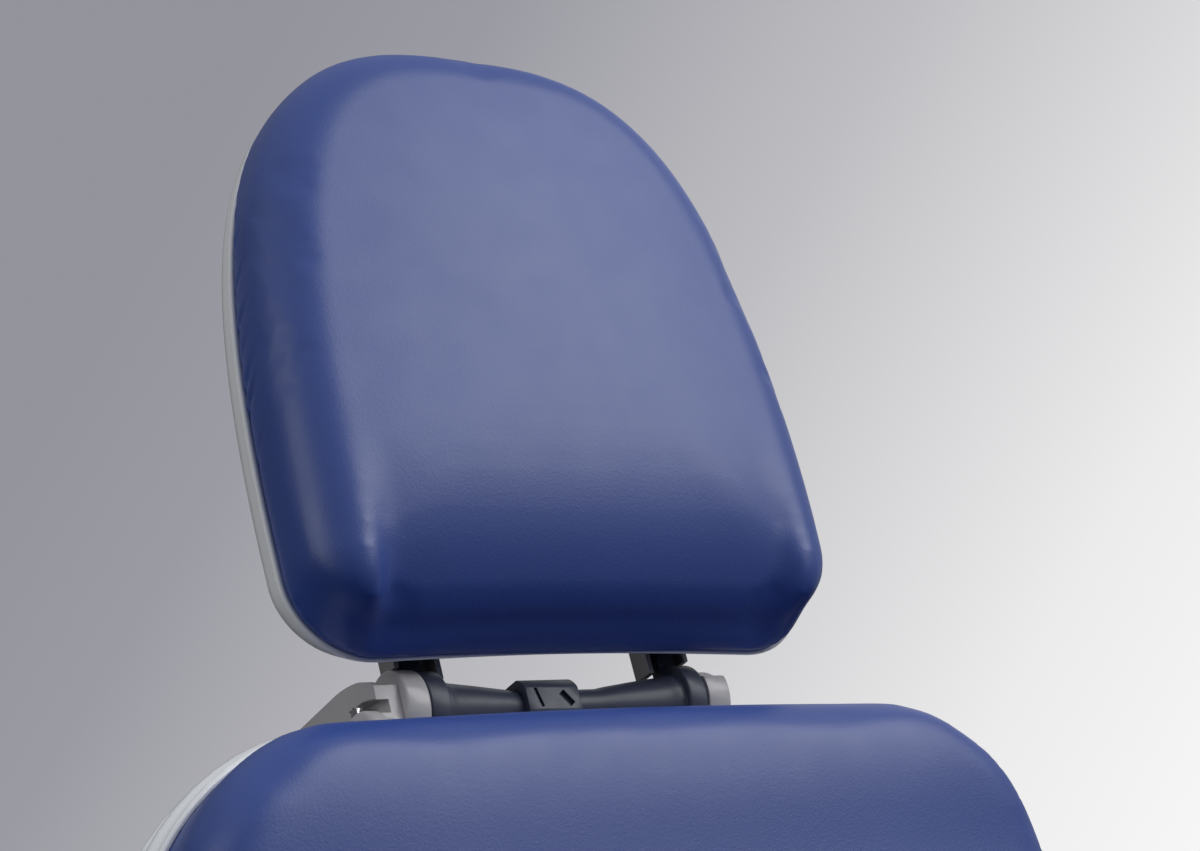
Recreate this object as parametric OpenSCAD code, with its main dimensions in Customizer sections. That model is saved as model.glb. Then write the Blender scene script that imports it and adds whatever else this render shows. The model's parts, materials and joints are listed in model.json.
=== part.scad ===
// Power procedure chair: telescopic lift column, powered back and leg sections,
// and a headrest that slides, tilts at its hub and tilts again behind its shell.
// Millimetres. The origin is on the floor under the middle of the column, the chair faces -Y,
// and the pose is the stored one: lift at its lowest, leg section hanging, back leaning.

/* [Seat and layout] */
// Height of the seat's top above the floor, with the lift at its lowest
seat_top = 540; // [500:5:620]
// Width of the seat and back cushions
chair_w = 608; // [540:2:680]
// Length of the seat cushion
seat_len = 460; // [420:2:520]
// Thickness of the seat, back and leg cushions at their edges
pad_t = 80; // [70:1:100]
// Rise of a cushion's middle above its edges
crown = 6; // [3:0.5:12]
// Distance from the column's axis back to the back section's hinge
back_axis_y = 235; // [210:1:260]
// Room between a hinge axis and the end of the seat cushion
seat_gap = 17; // [16:1:24]
// Lean of the back section behind the vertical, in degrees
back_lean = 25.5; // [15:0.5:40]
// Drop of the leg section below level, in degrees
leg_drop = 65; // [45:1:75]

/* [Cushions and shells] */
// Radius of the back cushion's top corners
back_top_r = 115; // [60:1:160]
// Radius of the other cushion corners
corner_r = 60; // [40:1:90]
// Rounding between a cushion's sides and its face
pad_edge_r = 30; // [15:1:45]
// How far a cushion's sides pull in between its corners
pad_draw = 4; // [0:0.5:8]
// Wall of the moulded shells
shell_wall = 4; // [3:0.5:6]
// Gap between a shell's inner wall and the cushion in it
pad_clear = 0.5; // [0.3:0.1:2]
// Height of a shell's rim above the board that carries the cushion
rim_h = 18; // [10:1:26]
// How far the two ridges round a shell stand out
ridge = 4; // [0:0.5:6]
// Thickness of the boards under the cushions
board_t = 12; // [9:1:18]

/* [Back section] */
// Distance from the hinge axis to the back cushion's lower end
back_start = 72; // [70:1:90]
// Length of the back cushion
back_len = 594; // [520:2:680]
// Depth of the back shell behind the cushion board's front
back_depth = 72; // [60:1:90]
// How far the shell stops short of the cushion's top edge
shell_short = 7; // [6:0.5:12]
// Height of the headrest hub's axis above the back cushion's top
hub_rise = 27; // [26:0.5:40]
// Depth of the steel rails of the back and leg frames
rail_d = 38; // [30:1:44]
// Width of the steel rails
rail_w = 25; // [20:1:30]
// Wall of the steel rails
rail_wall = 3; // [2:0.5:4]
// Distance from the middle to the inner side of the back and leg rails
rail_x = 180; // [170:1:186]

/* [Headrest] */
// Half the width of the headrest shell at its lower corners
head_half_w = 180; // [150:1:200]
// Height of the headrest shell along its face
head_h = 404; // [340:2:440]
// Thickness of the headrest cushion in front of its shell's rim
head_t = 60; // [45:1:75]
// Radius of the headrest's lower corners
head_corner_r = 51; // [30:1:70]
// Rounding of the headrest cushion's sides and top
head_edge_r = 38; // [20:1:45]
// Rounding of the headrest cushion's lower edge
head_low_r = 16; // [8:1:24]
// How far the cushion's underside leans in towards its face
head_low_lean = 14; // [6:1:24]
// Depth of the headrest shell behind its rim
head_depth = 25; // [18:1:26]
// Height of the headrest rim above the hub's axis
head_rise = 18.4; // [16:0.1:30]
// Distance from the hub's axis forward to the headrest rim's plane
head_fwd = 30; // [30:0.5:40]
// Height of the upper tilt pin above the hub's axis
upper_pin_rise = 150; // [120:1:200]

/* [Hub] */
// Radius of the hub's end bosses
hub_r = 24; // [20:0.5:28]
// Distance from the middle to a boss's inner face
boss_x = 96; // [90:0.5:104]
// Length of a boss
boss_len = 15; // [12:0.5:20]
// Radius of the beam's end rings
ring_r = 23; // [19:0.5:27]
// Length of a ring
ring_len = 13; // [8:0.5:16]
// Radius of the beam at its thin middle
beam_mid_r = 10.3; // [9.5:0.1:14]
// Radius of the beam beside its rings
beam_end_r = 18; // [14:0.5:20]
// Radius of the hub's axle
axle_r = 8; // [6:0.5:9]
// Width of the channel brackets
bracket_w = 31; // [24:0.5:34]
// Depth of the channel brackets
bracket_d = 16.5; // [12:0.5:18]
// Wall of the channel brackets
bracket_wall = 3.5; // [2:0.5:4]
// Distance from the middle to a bracket's inner side
bracket_x = 72; // [68:0.5:76]
// Middle of the clamp block, to the sitter's right of the middle
block_x = 9; // [0:1:14]
// Width of the clamp block
block_w = 36; // [28:1:42]
// Half the height of the clamp block
block_half = 15; // [13:0.5:18]

/* [Yoke and slide] */
// Half the height of a yoke arm where it leaves the hub
arm_half = 16; // [12:0.5:19]
// Height of a yoke arm's top above the hub's axis
arm_top = 23; // [20:0.5:24]
// Thickness of a yoke arm's plate
arm_t = 7.7; // [6:0.1:10]
// Distance from the hub's axis back to the middle of the slide bars
bar_back = 88; // [84:0.5:100]
// Width of a slide bar, front to back
bar_w = 22; // [16:0.5:26]
// Thickness of a slide bar
bar_t = 8; // [6:0.5:10]
// Clearance of a slide bar in its guides
slide_clear = 0.25; // [0.15:0.05:0.5]
// Travel of the headrest slide
head_travel = 120; // [80:5:160]

/* [Leg section] */
// Length of the leg cushion
leg_len = 330; // [280:2:360]
// Width of the leg cushion
leg_w = 560; // [480:2:600]
// Depth of the leg shell
leg_depth = 50; // [48:1:60]
// Length of the foot extension's pad
foot_len = 48; // [40:1:70]
// Thickness of the foot extension's pad
foot_t = 56; // [40:1:70]
// Radius of the extension's slide rods
rod_r = 8; // [6:0.5:10]

/* [Column and base] */
// Width of the column's outer stage
column_w = 220; // [190:2:240]
// Depth of the column's outer stage, front to back
column_d = 170; // [150:2:190]
// Wall of the column's stages
column_wall = 4; // [3:0.5:6]
// Gap between one stage's wall and the next
stage_gap = 6; // [5:0.5:8]
// Running clearance of a glide pad
glide_clear = 0.25; // [0.15:0.05:0.5]
// Length of the base plate
base_len = 710; // [640:5:800]
// Width of the base plate
base_w = 520; // [460:5:560]
// Thickness of the base plate
base_t = 12; // [10:1:20]
// Distance from the column's axis to the base plate's front edge
base_front = 310; // [290:5:320]
// Height of the base cover
cover_h = 120; // [100:1:130]
// Radius of the four anchor holes
anchor_r = 5.5; // [4.5:0.5:7]
// Distance between the anchor holes across the chair
anchor_x = 552; // [520:2:600]
// Distance between the anchor holes along the chair
anchor_y = 550; // [480:2:600]

/* [Hinges and actuators] */
// Radius of the back and leg hinge pins
pin_r = 8; // [6:0.5:9]
// Radius of the hinge eyes
eye_r = 14; // [12:0.5:15]
// Radial running clearance of a pin in its bore
pin_clear = 0.05; // [0.02:0.01:0.1]
// Length of the actuators' levers
lever_len = 50; // [40:1:55]
// Angle of the back lever at rest from straight back, in degrees
back_lever_angle = -50; // [-60:1:-45]
// Angle of the leg lever at rest from straight back, in degrees
leg_lever_angle = -75; // [-80:1:-70]
// Distance from a hinge axis to its actuator's rear pin
actuator_len = 260; // [240:1:270]
// Depth of an actuator's rear pin below the hinge axes
actuator_low = 34; // [32:0.5:36]
// Radius of an actuator's tube
actuator_r = 19; // [17:0.5:19.5]
// Play between an actuator's front pin and its fork
fork_play = 8; // [7:0.5:9]

/* [Hidden] */
$fn = 48;
// One overrun for every cut
cut = 1;

// Points in an outline: along each corner, along each side, and up each flank of the headrest
corner_n = 6;
side_n = 5;
dome_n = 14;
edge_steps = 4;
crown_shares = [0.8, 0.6, 0.4, 0.2];

// Places that follow from the driving sizes
pivot_z = seat_top - pad_t;
leg_axis_y = back_axis_y - seat_len - 2 * seat_gap;
hub_v = back_start + back_len + hub_rise;

// Small sizes of the shells: how far the floor draws in, and where the profile turns
shell_in = 44;
round_shares = [[1, 1], [0.6, 0.89], [0.27, 0.7], [0.09, 0.47], [0, 0.3]];
ridge_shares = [[1, 0.2], [0, 0.42], [1, 0.64], [0, 0.86], [0, 1]];
tray_in = shell_wall + pad_clear;
over_rim = 6;

// Frames: rails, ears and plates
ear_t = 10;
ear_step = 5;
ear_neck = 24;
fit_gap = 1;
seat_rail_h = 45;
seat_plate_t = 8;
seat_plate_front = 170;
seat_plate_back = 150;
frame_z = pivot_z - board_t - seat_rail_h;
ear_x = rail_x + rail_w + fit_gap;
panel_t = 2;

// Outline functions. Outlines run anticlockwise and start at the far right corner.
function corner(cx, cy, r, start) =
    [for (k = [0:corner_n]) let (a = start + 90 * k / corner_n) [cx + r * cos(a), cy + r * sin(a)]];

function side(a, b, draw) =
    let (d = b - a, n = [-d[1], d[0]] / norm(d))
    [for (k = [1:side_n]) let (s = k / (side_n + 1)) a + d * s + n * draw * sin(180 * s)];

function pad_outline(w, l, r_far, r_near, draw = 0) =
    let (c0 = corner(w / 2 - r_far, l - r_far, r_far, 0),
         c1 = corner(r_far - w / 2, l - r_far, r_far, 90),
         c2 = corner(r_near - w / 2, r_near, r_near, 180),
         c3 = corner(w / 2 - r_near, r_near, r_near, 270))
    concat(c0, side(c0[corner_n], c1[0], draw), c1, side(c1[corner_n], c2[0], draw),
           c2, side(c2[corner_n], c3[0], draw), c3, side(c3[corner_n], c0[0], draw));

// The headrest's outline: rounded lower corners, and one curve up each flank to the dome
head_bulge = 14.5;
head_rise_share = 0.98;
head_dome_share = 0.5;

function bezier(p, s) =
    pow(1 - s, 3) * p[0] + 3 * pow(1 - s, 2) * s * p[1] + 3 * (1 - s) * s * s * p[2] + s * s * s * p[3];

function flank(w, h, r) =
    let (p = [[w, r], [w + head_bulge, r + head_rise_share * (h - r)], [head_dome_share * w, h], [0, h]])
    [for (k = [1:dome_n]) bezier(p, k / (dome_n + 1))];

function head_outline(w, h, r, draw = 0) =
    let (right = corner(w - r, r, r, 270), left = corner(r - w, r, r, 180), f = flank(w, h, r))
    concat(right, f, [[0, h]], [for (k = [1:dome_n]) [-f[dome_n - k][0], f[dome_n - k][1]]],
           left, side(left[corner_n], right[0], draw));

// How much each point of the headrest's outline belongs to its lower edge
low_shares = concat([for (k = [0:corner_n]) 1 - k / corner_n], [for (k = [0:2 * dome_n]) 0],
                    [for (k = [0:corner_n]) k / corner_n], [for (k = [1:side_n]) 1]);

function inset_point(o, k, d) =
    let (n = len(o), t = o[(k + 1) % n] - o[(k + n - 1) % n])
    o[k] - [t[1], -t[0]] / norm(t) * d;

function inset(o, d) = [for (k = [0:len(o) - 1]) inset_point(o, k, d)];

function moved(o, dx, dy) = [for (p = o) [p[0] + dx, p[1] + dy]];

function ring(o, d, h) = [for (p = inset(o, d)) [p[0], p[1], h]];

function shrunk(o, cy, s, h) = [for (p = o) [p[0] * s, cy + (p[1] - cy) * s, h]];

function mix(a, b, s) = a + (b - a) * s;

// Skin over a stack of rings: closed at both ends, or joined into a loop
module loft(rings, loop = false) {
    n = len(rings[0]);
    m = len(rings);
    sides = [for (i = [0:m - (loop ? 1 : 2)]) for (j = [0:n - 1])
             let (a = i * n + j, b = i * n + (j + 1) % n,
                  c = ((i + 1) % m) * n + (j + 1) % n, d = ((i + 1) % m) * n + j)
             each [[a, d, c], [a, c, b]]];
    ends = loop ? [] : [[for (j = [0:n - 1]) j], [for (j = [0:n - 1]) m * n - 1 - j]];
    polyhedron([for (r = rings) each r], concat(sides, ends), convexity = 6);
}

// A cushion that sits in a tray, bulges over its rim, rounds over and is crowned
module pad(tray, o, t, edge_r, cy) {
    top = inset(o, edge_r);
    loft(concat([ring(tray, 0, 0), ring(tray, 0, rim_h), ring(o, pad_clear, rim_h + over_rim)],
                [for (k = [0:edge_steps]) let (a = 90 * k / edge_steps)
                 ring(o, edge_r * (1 - cos(a)), t - edge_r + edge_r * sin(a))],
                [for (s = crown_shares) shrunk(top, cy, s, t + crown * (1 - s * s))]));
}

// The rounded floor and two ridges that every shell's outside shares, as [inset, height]
function shell_profile(depth) = concat(
    [for (s = round_shares) [s[0] * shell_in, -s[1] * depth]],
    [for (s = ridge_shares) [-s[0] * ridge, mix(-round_shares[4][1] * depth, rim_h, s[1])]]);

// A moulded tray: a wall that goes up the outside and down the inside, and a flat floor
module tray(o, p, depth) {
    last = len(p) - 1;
    in = p[0][0];
    loft(concat([for (q = p) ring(o, q[0], q[1])],
                [for (k = [last:-1:0]) let (d = max(p[k][0], 0))
                 ring(o, d + shell_wall * (1 - d / in), p[k][1] + shell_wall * d / in)]), loop = true);
    translate([0, 0, -depth]) linear_extrude(shell_wall) polygon(inset(o, in));
}
module shell(o, depth) {
    tray(o, shell_profile(depth), depth);
}

// Rectangle with true round corners
module plate_2d(w, d, r) {
    square([w - 2 * r, d], center = true);
    square([w, d - 2 * r], center = true);
    for (sx = [-1, 1]) for (sy = [-1, 1]) translate([sx * (w / 2 - r), sy * (d / 2 - r)]) circle(r);
}

// A cylinder along X, and the same for a bore with running clearance
module rod_x(r, x0, x1) {
    translate([x0, 0, 0]) rotate([0, 90, 0]) cylinder(r = r, h = x1 - x0);
}

// A flat profile drawn as [forward, up] and given a thickness along X
module slab_x(x0, x1) {
    translate([x0, 0, 0]) rotate([90, 0, 90]) linear_extrude(x1 - x0) children();
}

// Local frames. In the back's and leg's, Y runs along the section and Z out of its face.
module in_back() {
    translate([0, back_axis_y, pivot_z]) rotate([90 - back_lean, 0, 0]) children();
}
module in_hub() {
    in_back() translate([0, hub_v, 0]) children();
}
module in_head() {
    in_hub() translate([0, head_rise, head_fwd]) children();
}
module in_leg() {
    translate([0, leg_axis_y, pivot_z]) rotate([leg_drop, 0, 0]) rotate([0, 0, 180]) children();
}
module both_sides() {
    children();
    mirror([1, 0, 0]) children();
}

// Base sizes
base_mid_y = base_len / 2 - base_front;
lug_r = 18;
level_r = 6;
level_inset = 40;
level_stand = 3;
socket_r = 3;
cover_inset = 10;
cover_gap = 4;
cover_shares = [[0, 0], [0.06, 0.32], [0.3, 0.63], [0.8, 0.86]];
cover_in = 46;
column_corner = 18;

module base_plate() {
    color("dimgray") translate([0, base_mid_y, 0]) difference() {
        linear_extrude(base_t) {
            plate_2d(base_w, base_len, corner_r);
            for (sx = [-1, 1]) for (sy = [-1, 1]) translate([sx * anchor_x / 2, sy * anchor_y / 2]) {
                circle(lug_r);
                translate([sx * -lug_r, 0]) square([2 * lug_r, 2 * lug_r], center = true);
            }
        }
        for (sx = [-1, 1]) for (sy = [-1, 1]) {
            translate([sx * anchor_x / 2, sy * anchor_y / 2, -cut])
                cylinder(r = anchor_r, h = base_t + 2 * cut);
            translate([sx * (base_w / 2 - level_inset), sy * (base_len / 2 - level_inset), -cut])
                cylinder(r = level_r + pin_clear, h = base_t + 2 * cut);
        }
    }
}

// Set screws in the plate's corners, with a hexagon socket in the top
module levelling_screws() {
    color("darkgray") translate([0, base_mid_y, 0]) for (sx = [-1, 1]) for (sy = [-1, 1])
        translate([sx * (base_w / 2 - level_inset), sy * (base_len / 2 - level_inset), 0]) difference() {
            cylinder(r = level_r, h = base_t + level_stand);
            translate([0, 0, base_t]) cylinder(r = socket_r, h = level_stand + cut, $fn = 6);
        }
}

inlet_x = 36;
inlet_z = 28;
inlet_deep = 30;
inlet_proud = 4;
inlet_back = base_mid_y + base_len / 2 - cover_inset + inlet_proud;

// The cover's outline on the plate, and the hole that it leaves for the column
function cover_outline() =
    moved(pad_outline(base_w - 2 * cover_inset, base_len - 2 * cover_inset, corner_r, corner_r),
          0, cover_inset - base_front);
function cover_hole() =
    moved(pad_outline(column_w + 2 * cover_gap, column_d + 2 * cover_gap, column_corner, column_corner),
          0, -column_d / 2 - cover_gap);

module base_cover() {
    o = cover_outline();
    rise = cover_h - base_t;
    color("gainsboro") difference() {
        loft(concat([for (s = cover_shares) ring(o, s[0] * cover_in, base_t + s[1] * rise)],
                    [ring(cover_hole(), 0, cover_h), ring(cover_hole(), 0, cover_h - shell_wall)],
                    [for (k = [3:-1:0]) ring(o, cover_shares[k][0] * cover_in + shell_wall,
                     base_t + cover_shares[k][1] * (rise - shell_wall))]), loop = true);
        translate([-inlet_x - pad_clear, inlet_back - inlet_deep, base_t - cut])
            cube([2 * (inlet_x + pad_clear), inlet_deep + cut, inlet_z + pad_clear + cut]);
    }
}

// Column stages. Each is a rounded tube that slides in the one before it.
stage_step = column_wall + stage_gap;
mid_w = column_w - 2 * stage_step;
mid_d = column_d - 2 * stage_step;
in_w = mid_w - 2 * stage_step;
in_d = mid_d - 2 * stage_step;
plate_z = frame_z - seat_plate_t;
collar_h = 8;
stage_drop = 45;
mid_top = plate_z - stage_drop;
outer_top = mid_top - stage_drop - collar_h;
mid_low = base_t + 18;
in_low = mid_low + 16;
floor_t = 8;
glide_w = 60;
glide_h = 60;
glide_up = 6;
collar_lip = 2;
collar_clear = 0.5;
screw_r = 8;
mid_tube_r = 15;
in_tube_r = 22;
bearing_r = 26;
bearing_h = 10;
screw_short = 40;

module stage(w, d, low, top) {
    translate([0, 0, low]) linear_extrude(top - low) difference() {
        plate_2d(w, d, column_corner);
        plate_2d(w - 2 * column_wall, d - 2 * column_wall, column_corner - column_wall);
    }
}

module collar(w, d, hole_w, hole_d, z) {
    translate([0, 0, z]) linear_extrude(collar_h) difference() {
        plate_2d(w + 2 * collar_lip, d + 2 * collar_lip, column_corner);
        plate_2d(hole_w + 2 * collar_clear, hole_d + 2 * collar_clear, column_corner);
    }
}

module glides(w, d, low) {
    t = stage_gap - glide_clear;
    translate([0, 0, low + glide_up]) {
        for (s = [-1, 1]) translate([s * (w + t) / 2, 0, glide_h / 2])
            cube([t, glide_w, glide_h], center = true);
        for (s = [-1, 1]) translate([0, s * (d + t) / 2, glide_h / 2])
            cube([glide_w, t, glide_h], center = true);
    }
}

module column_outer() {
    color("gainsboro") stage(column_w, column_d, base_t, outer_top);
}
module column_outer_collar() {
    color("dimgray") collar(column_w, column_d, mid_w, mid_d, outer_top);
}
module column_middle() {
    color("silver") {
        stage(mid_w, mid_d, mid_low, mid_top);
        translate([0, 0, mid_low]) linear_extrude(floor_t) difference() {
            plate_2d(mid_w - column_wall, mid_d - column_wall, column_corner - column_wall);
            circle(mid_tube_r);
        }
    }
}
module column_middle_glides() {
    color("white") glides(mid_w, mid_d, mid_low);
}
module column_middle_collar() {
    color("dimgray") collar(mid_w, mid_d, in_w, in_d, mid_top);
}
module column_inner() {
    color("gainsboro") {
        stage(in_w, in_d, in_low, plate_z);
        translate([0, 0, plate_z - floor_t]) linear_extrude(floor_t)
            plate_2d(in_w - column_wall, in_d - column_wall, column_corner - column_wall);
    }
}
module column_inner_glides() {
    color("white") glides(in_w, in_d, in_low);
}

// Telescopic drive in the column: a screw, a tube round it and a tube round that
module lift_screw() {
    color("silver") {
        translate([0, 0, base_t]) cylinder(r = bearing_r, h = bearing_h);
        translate([0, 0, base_t]) cylinder(r = screw_r, h = mid_top - screw_short - base_t);
    }
}
module tube(r_out, r_in, low, high) {
    translate([0, 0, low]) difference() {
        cylinder(r = r_out, h = high - low);
        translate([0, 0, -cut]) cylinder(r = r_in + pin_clear, h = high - low + 2 * cut);
    }
}
module lift_tube_middle() {
    color("silver") tube(mid_tube_r, screw_r, mid_low, mid_top - floor_t);
}
module lift_tube_inner() {
    color("silver") tube(in_tube_r, mid_tube_r, in_low + floor_t, plate_z - floor_t);
}

gearbox_w = 56;
gearbox_h = 58;
motor_r = 26;
motor_len = 90;
module lift_motor() {
    color("darkslategray") translate([0, column_d / 2, base_t]) {
        translate([-gearbox_w / 2, 0, 0]) cube([gearbox_w, gearbox_w, gearbox_h]);
        translate([0, gearbox_w, gearbox_h / 2]) rotate([-90, 0, 0]) cylinder(r = motor_r, h = motor_len);
    }
}

// Mains inlet with three blades, and a pocket for its rocker switch
plug_w = 26;
plug_h = 18;
plug_deep = 15;
plug_x = -15;
blade = [2, 11, 6];
blade_step = 7;
switch_x = 20;
switch_w = 12;
switch_half = 9;
switch_deep = 10;
switch_pin_r = 2;
switch_pin_len = 2;
switch_tilt = 6;
switch_shares = [[0.35, 0], [0.55, 0.92], [0.3, 1], [-0.45, 0.8], [-0.45, -0.8], [0.3, -1], [0.55, -0.92]];
switch_y = inlet_back - 5;
inlet_mid_z = base_t + inlet_z / 2;

module power_inlet() {
    color("black") translate([0, inlet_back, inlet_mid_z]) {
        difference() {
            translate([-inlet_x, -inlet_deep, -inlet_z / 2]) cube([2 * inlet_x, inlet_deep, inlet_z]);
            translate([plug_x - plug_w / 2, -plug_deep, -plug_h / 2]) cube([plug_w, plug_deep + cut, plug_h]);
            translate([switch_x - switch_w / 2 - pad_clear, -switch_deep - pad_clear,
                       -switch_half - 2 * pad_clear])
                cube([switch_w + 2 * pad_clear, switch_deep + pad_clear + cut,
                      2 * (switch_half + 2 * pad_clear)]);
            translate([switch_x, switch_y - inlet_back, 0])
                rod_x(switch_pin_r + pin_clear, -switch_w / 2 - switch_pin_len - pad_clear,
                      switch_w / 2 + switch_pin_len + pad_clear);
        }
        for (k = [-1:1]) translate([plug_x + k * blade_step - blade[0] / 2, -plug_deep - cut,
                                    (k == 0 ? blade_step / 2 : -blade_step / 2) - blade[2] / 2])
            cube([blade[0], blade[1] + cut, blade[2]]);
    }
}

module power_switch() {
    color("firebrick") translate([switch_x, switch_y, inlet_mid_z]) rotate([-switch_tilt, 0, 0]) {
        slab_x(-switch_w / 2, switch_w / 2) polygon([for (s = switch_shares) s * switch_half]);
        rod_x(switch_pin_r, -switch_w / 2 - switch_pin_len, switch_w / 2 + switch_pin_len);
    }
}

// Seat frame: a plate on the column, two hollow rails and an ear at each hinge
actuator_x = 70;
actuator_pin_r = 6;
actuator_ear_t = 6;
actuator_eye_r = 11;
actuator_eye_half = 14;
pin_end = 3;
rail_end_gap = 4;
ear_back = 45;
ear_side_clear = 0.5;
notch_half = 24;
notch_w = 92;
notch_start = 40;
back_pin_y = back_axis_y - actuator_len;
leg_pin_y = leg_axis_y + actuator_len;
actuator_z = pivot_z - actuator_low;

module hinge_ear(axis_y, dir) {
    slab_x(ear_x, ear_x + ear_t) {
        translate([axis_y, pivot_z]) circle(eye_r);
        polygon([[axis_y - dir * eye_r, pivot_z], [axis_y, pivot_z], [axis_y, pivot_z - eye_r],
                 [axis_y - dir * ear_step, pivot_z - ear_neck], [axis_y, frame_z + ear_t],
                 [axis_y - dir * ear_back, frame_z],
                 [axis_y - dir * ear_back, frame_z + seat_rail_h],
                 [axis_y - dir * eye_r, frame_z + seat_rail_h]]);
    }
}

module actuator_ears(x, y) {
    for (s = [-1, 1]) {
        x0 = x + (s < 0 ? -actuator_eye_half - ear_side_clear - actuator_ear_t
                        : actuator_eye_half + ear_side_clear);
        slab_x(x0, x0 + actuator_ear_t) {
            translate([y, actuator_z]) circle(actuator_eye_r);
            translate([y - actuator_eye_r, frame_z - cut])
                square([2 * actuator_eye_r, actuator_z - frame_z + cut]);
        }
    }
}

module seat_frame() {
    y0 = leg_axis_y + eye_r + rail_end_gap;
    y1 = back_axis_y - eye_r;
    color("silver") difference() {
        union() {
            translate([-ear_x - rail_w, -seat_plate_front, plate_z])
                cube([2 * (ear_x + rail_w), seat_plate_front + seat_plate_back, seat_plate_t]);
            both_sides() {
                translate([ear_x, y0, frame_z]) difference() {
                    cube([rail_w, y1 - y0, seat_rail_h]);
                    translate([rail_wall, -cut, rail_wall])
                        cube([rail_w - 2 * rail_wall, y1 - y0 + 2 * cut, seat_rail_h - 2 * rail_wall]);
                }
                hinge_ear(back_axis_y, 1);
                hinge_ear(leg_axis_y, -1);
            }
            actuator_ears(actuator_x, back_pin_y);
            actuator_ears(-actuator_x, leg_pin_y);
        }
        both_sides() for (y = [leg_axis_y, back_axis_y]) translate([0, y, pivot_z])
            rod_x(pin_r + pin_clear, ear_x - cut, ear_x + ear_t + cut);
        for (p = [[actuator_x, back_pin_y], [-actuator_x, leg_pin_y]]) translate([p[0], p[1], actuator_z])
            rod_x(actuator_pin_r + pin_clear, -2 * actuator_eye_half, 2 * actuator_eye_half);
        // Notches that let each actuator's tube and motor dip below the plate's top
        translate([actuator_x - notch_half, back_pin_y + notch_start, plate_z - cut])
            cube([notch_w, actuator_len, seat_plate_t + 2 * cut]);
        translate([notch_half - actuator_x - notch_w, leg_pin_y - notch_start - actuator_len, plate_z - cut])
            cube([notch_w, actuator_len, seat_plate_t + 2 * cut]);
    }
}

module hinge_pins(y) {
    both_sides() translate([0, y, pivot_z]) {
        rod_x(pin_r, rail_x - pin_end, ear_x + ear_t);
        rod_x(pin_r + pin_end, ear_x + ear_t, ear_x + ear_t + pin_end);
        rod_x(pin_r + pin_end, rail_x - 2 * pin_end, rail_x - fit_gap / 2);
    }
}
module back_hinge_pins() {
    color("gray") hinge_pins(back_axis_y);
}
module leg_hinge_pins() {
    color("gray") hinge_pins(leg_axis_y);
}
module actuator_rear_pins() {
    reach = actuator_eye_half + ear_side_clear + actuator_ear_t;
    color("gray") for (p = [[actuator_x, back_pin_y], [-actuator_x, leg_pin_y]])
        translate([p[0], p[1], actuator_z]) {
            rod_x(actuator_pin_r, -reach, reach);
            for (s = [-1, 1]) rod_x(actuator_pin_r + pin_end / 2, s > 0 ? reach : -reach - pin_end,
                                    s > 0 ? reach + pin_end : -reach);
        }
}

function seat_outline(draw = 0) =
    moved(pad_outline(chair_w, seat_len, corner_r, corner_r, draw), 0, leg_axis_y + seat_gap);
seat_mid_y = leg_axis_y + seat_gap + seat_len / 2;

module seat_pan() {
    color("burlywood") translate([0, 0, pivot_z - board_t]) linear_extrude(board_t)
        polygon(inset(seat_outline(), tray_in));
}
module seat_cushion() {
    color("slateblue") translate([0, 0, pivot_z])
        pad(seat_outline_in(), seat_outline(pad_draw), pad_t, pad_edge_r, seat_mid_y);
}
function seat_outline_in() = inset(seat_outline(), tray_in);

// Side covers: the shells' profile swept round each end of the seat, open below
cover_end = 3;
module seat_cover() {
    o = seat_outline();
    all = shell_profile(board_t + seat_rail_h + seat_plate_t);
    p = [for (k = [1:len(all) - 1]) all[k]];
    last = len(p) - 1;
    intersection() {
        translate([0, 0, pivot_z])
            loft(concat([for (q = p) ring(o, q[0], q[1])],
                        [for (k = [last:-1:0]) ring(o, max(p[k][0], 0) + shell_wall, p[k][1])]), loop = true);
        translate([ear_x + rail_w + cover_end, leg_axis_y - corner_r, 0])
            cube([chair_w / 2, seat_len + 2 * corner_r + 2 * seat_gap, 2 * seat_top]);
    }
}
module seat_cover_right() {
    color("whitesmoke") seat_cover();
}
module seat_cover_left() {
    color("whitesmoke") mirror([1, 0, 0]) seat_cover();
}

// Actuators: a tube with its motor beside it, and a rod with a fork that has play round the lever's pin
actuator_rod_r = 10;
actuator_tube_start = 14;
actuator_tube_end = 210;
actuator_bore_start = 60;
neck_half = 12;
gear_start = 24;
gear_len = 34;
motor_off = 42;
actuator_motor_end = 160;
back_rod_start = 120;
leg_rod_start = 75;
lever_t = 10;
lever_half = 9;
fork_gap = 0.3;
cheek_t = 5;
cheek_rim = 5;
bridge_far = 30;
bridge_t = 10;
washer_r = 17;
washer_t = 2;
washer_gap = 0.5;

function polar(r, a) = [r * cos(a), r * sin(a)];
back_rear_pin = [back_pin_y, actuator_z];
leg_rear_pin = [leg_pin_y, actuator_z];
back_front_pin = [back_axis_y, pivot_z] + polar(lever_len, back_lever_angle);
leg_front_pin = [leg_axis_y, pivot_z] + polar(lever_len, leg_lever_angle);

// Frame of an actuator: Y runs from its rear pin to its front pin
module along_pins(x, a, b) {
    d = b - a;
    translate([x, a[0], a[1]]) rotate([atan2(d[1], d[0]), 0, 0]) children();
}

// A cylinder along Y
module rod_y(r, y0, y1) {
    translate([0, y0, 0]) rotate([-90, 0, 0]) cylinder(r = r, h = y1 - y0);
}

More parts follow.
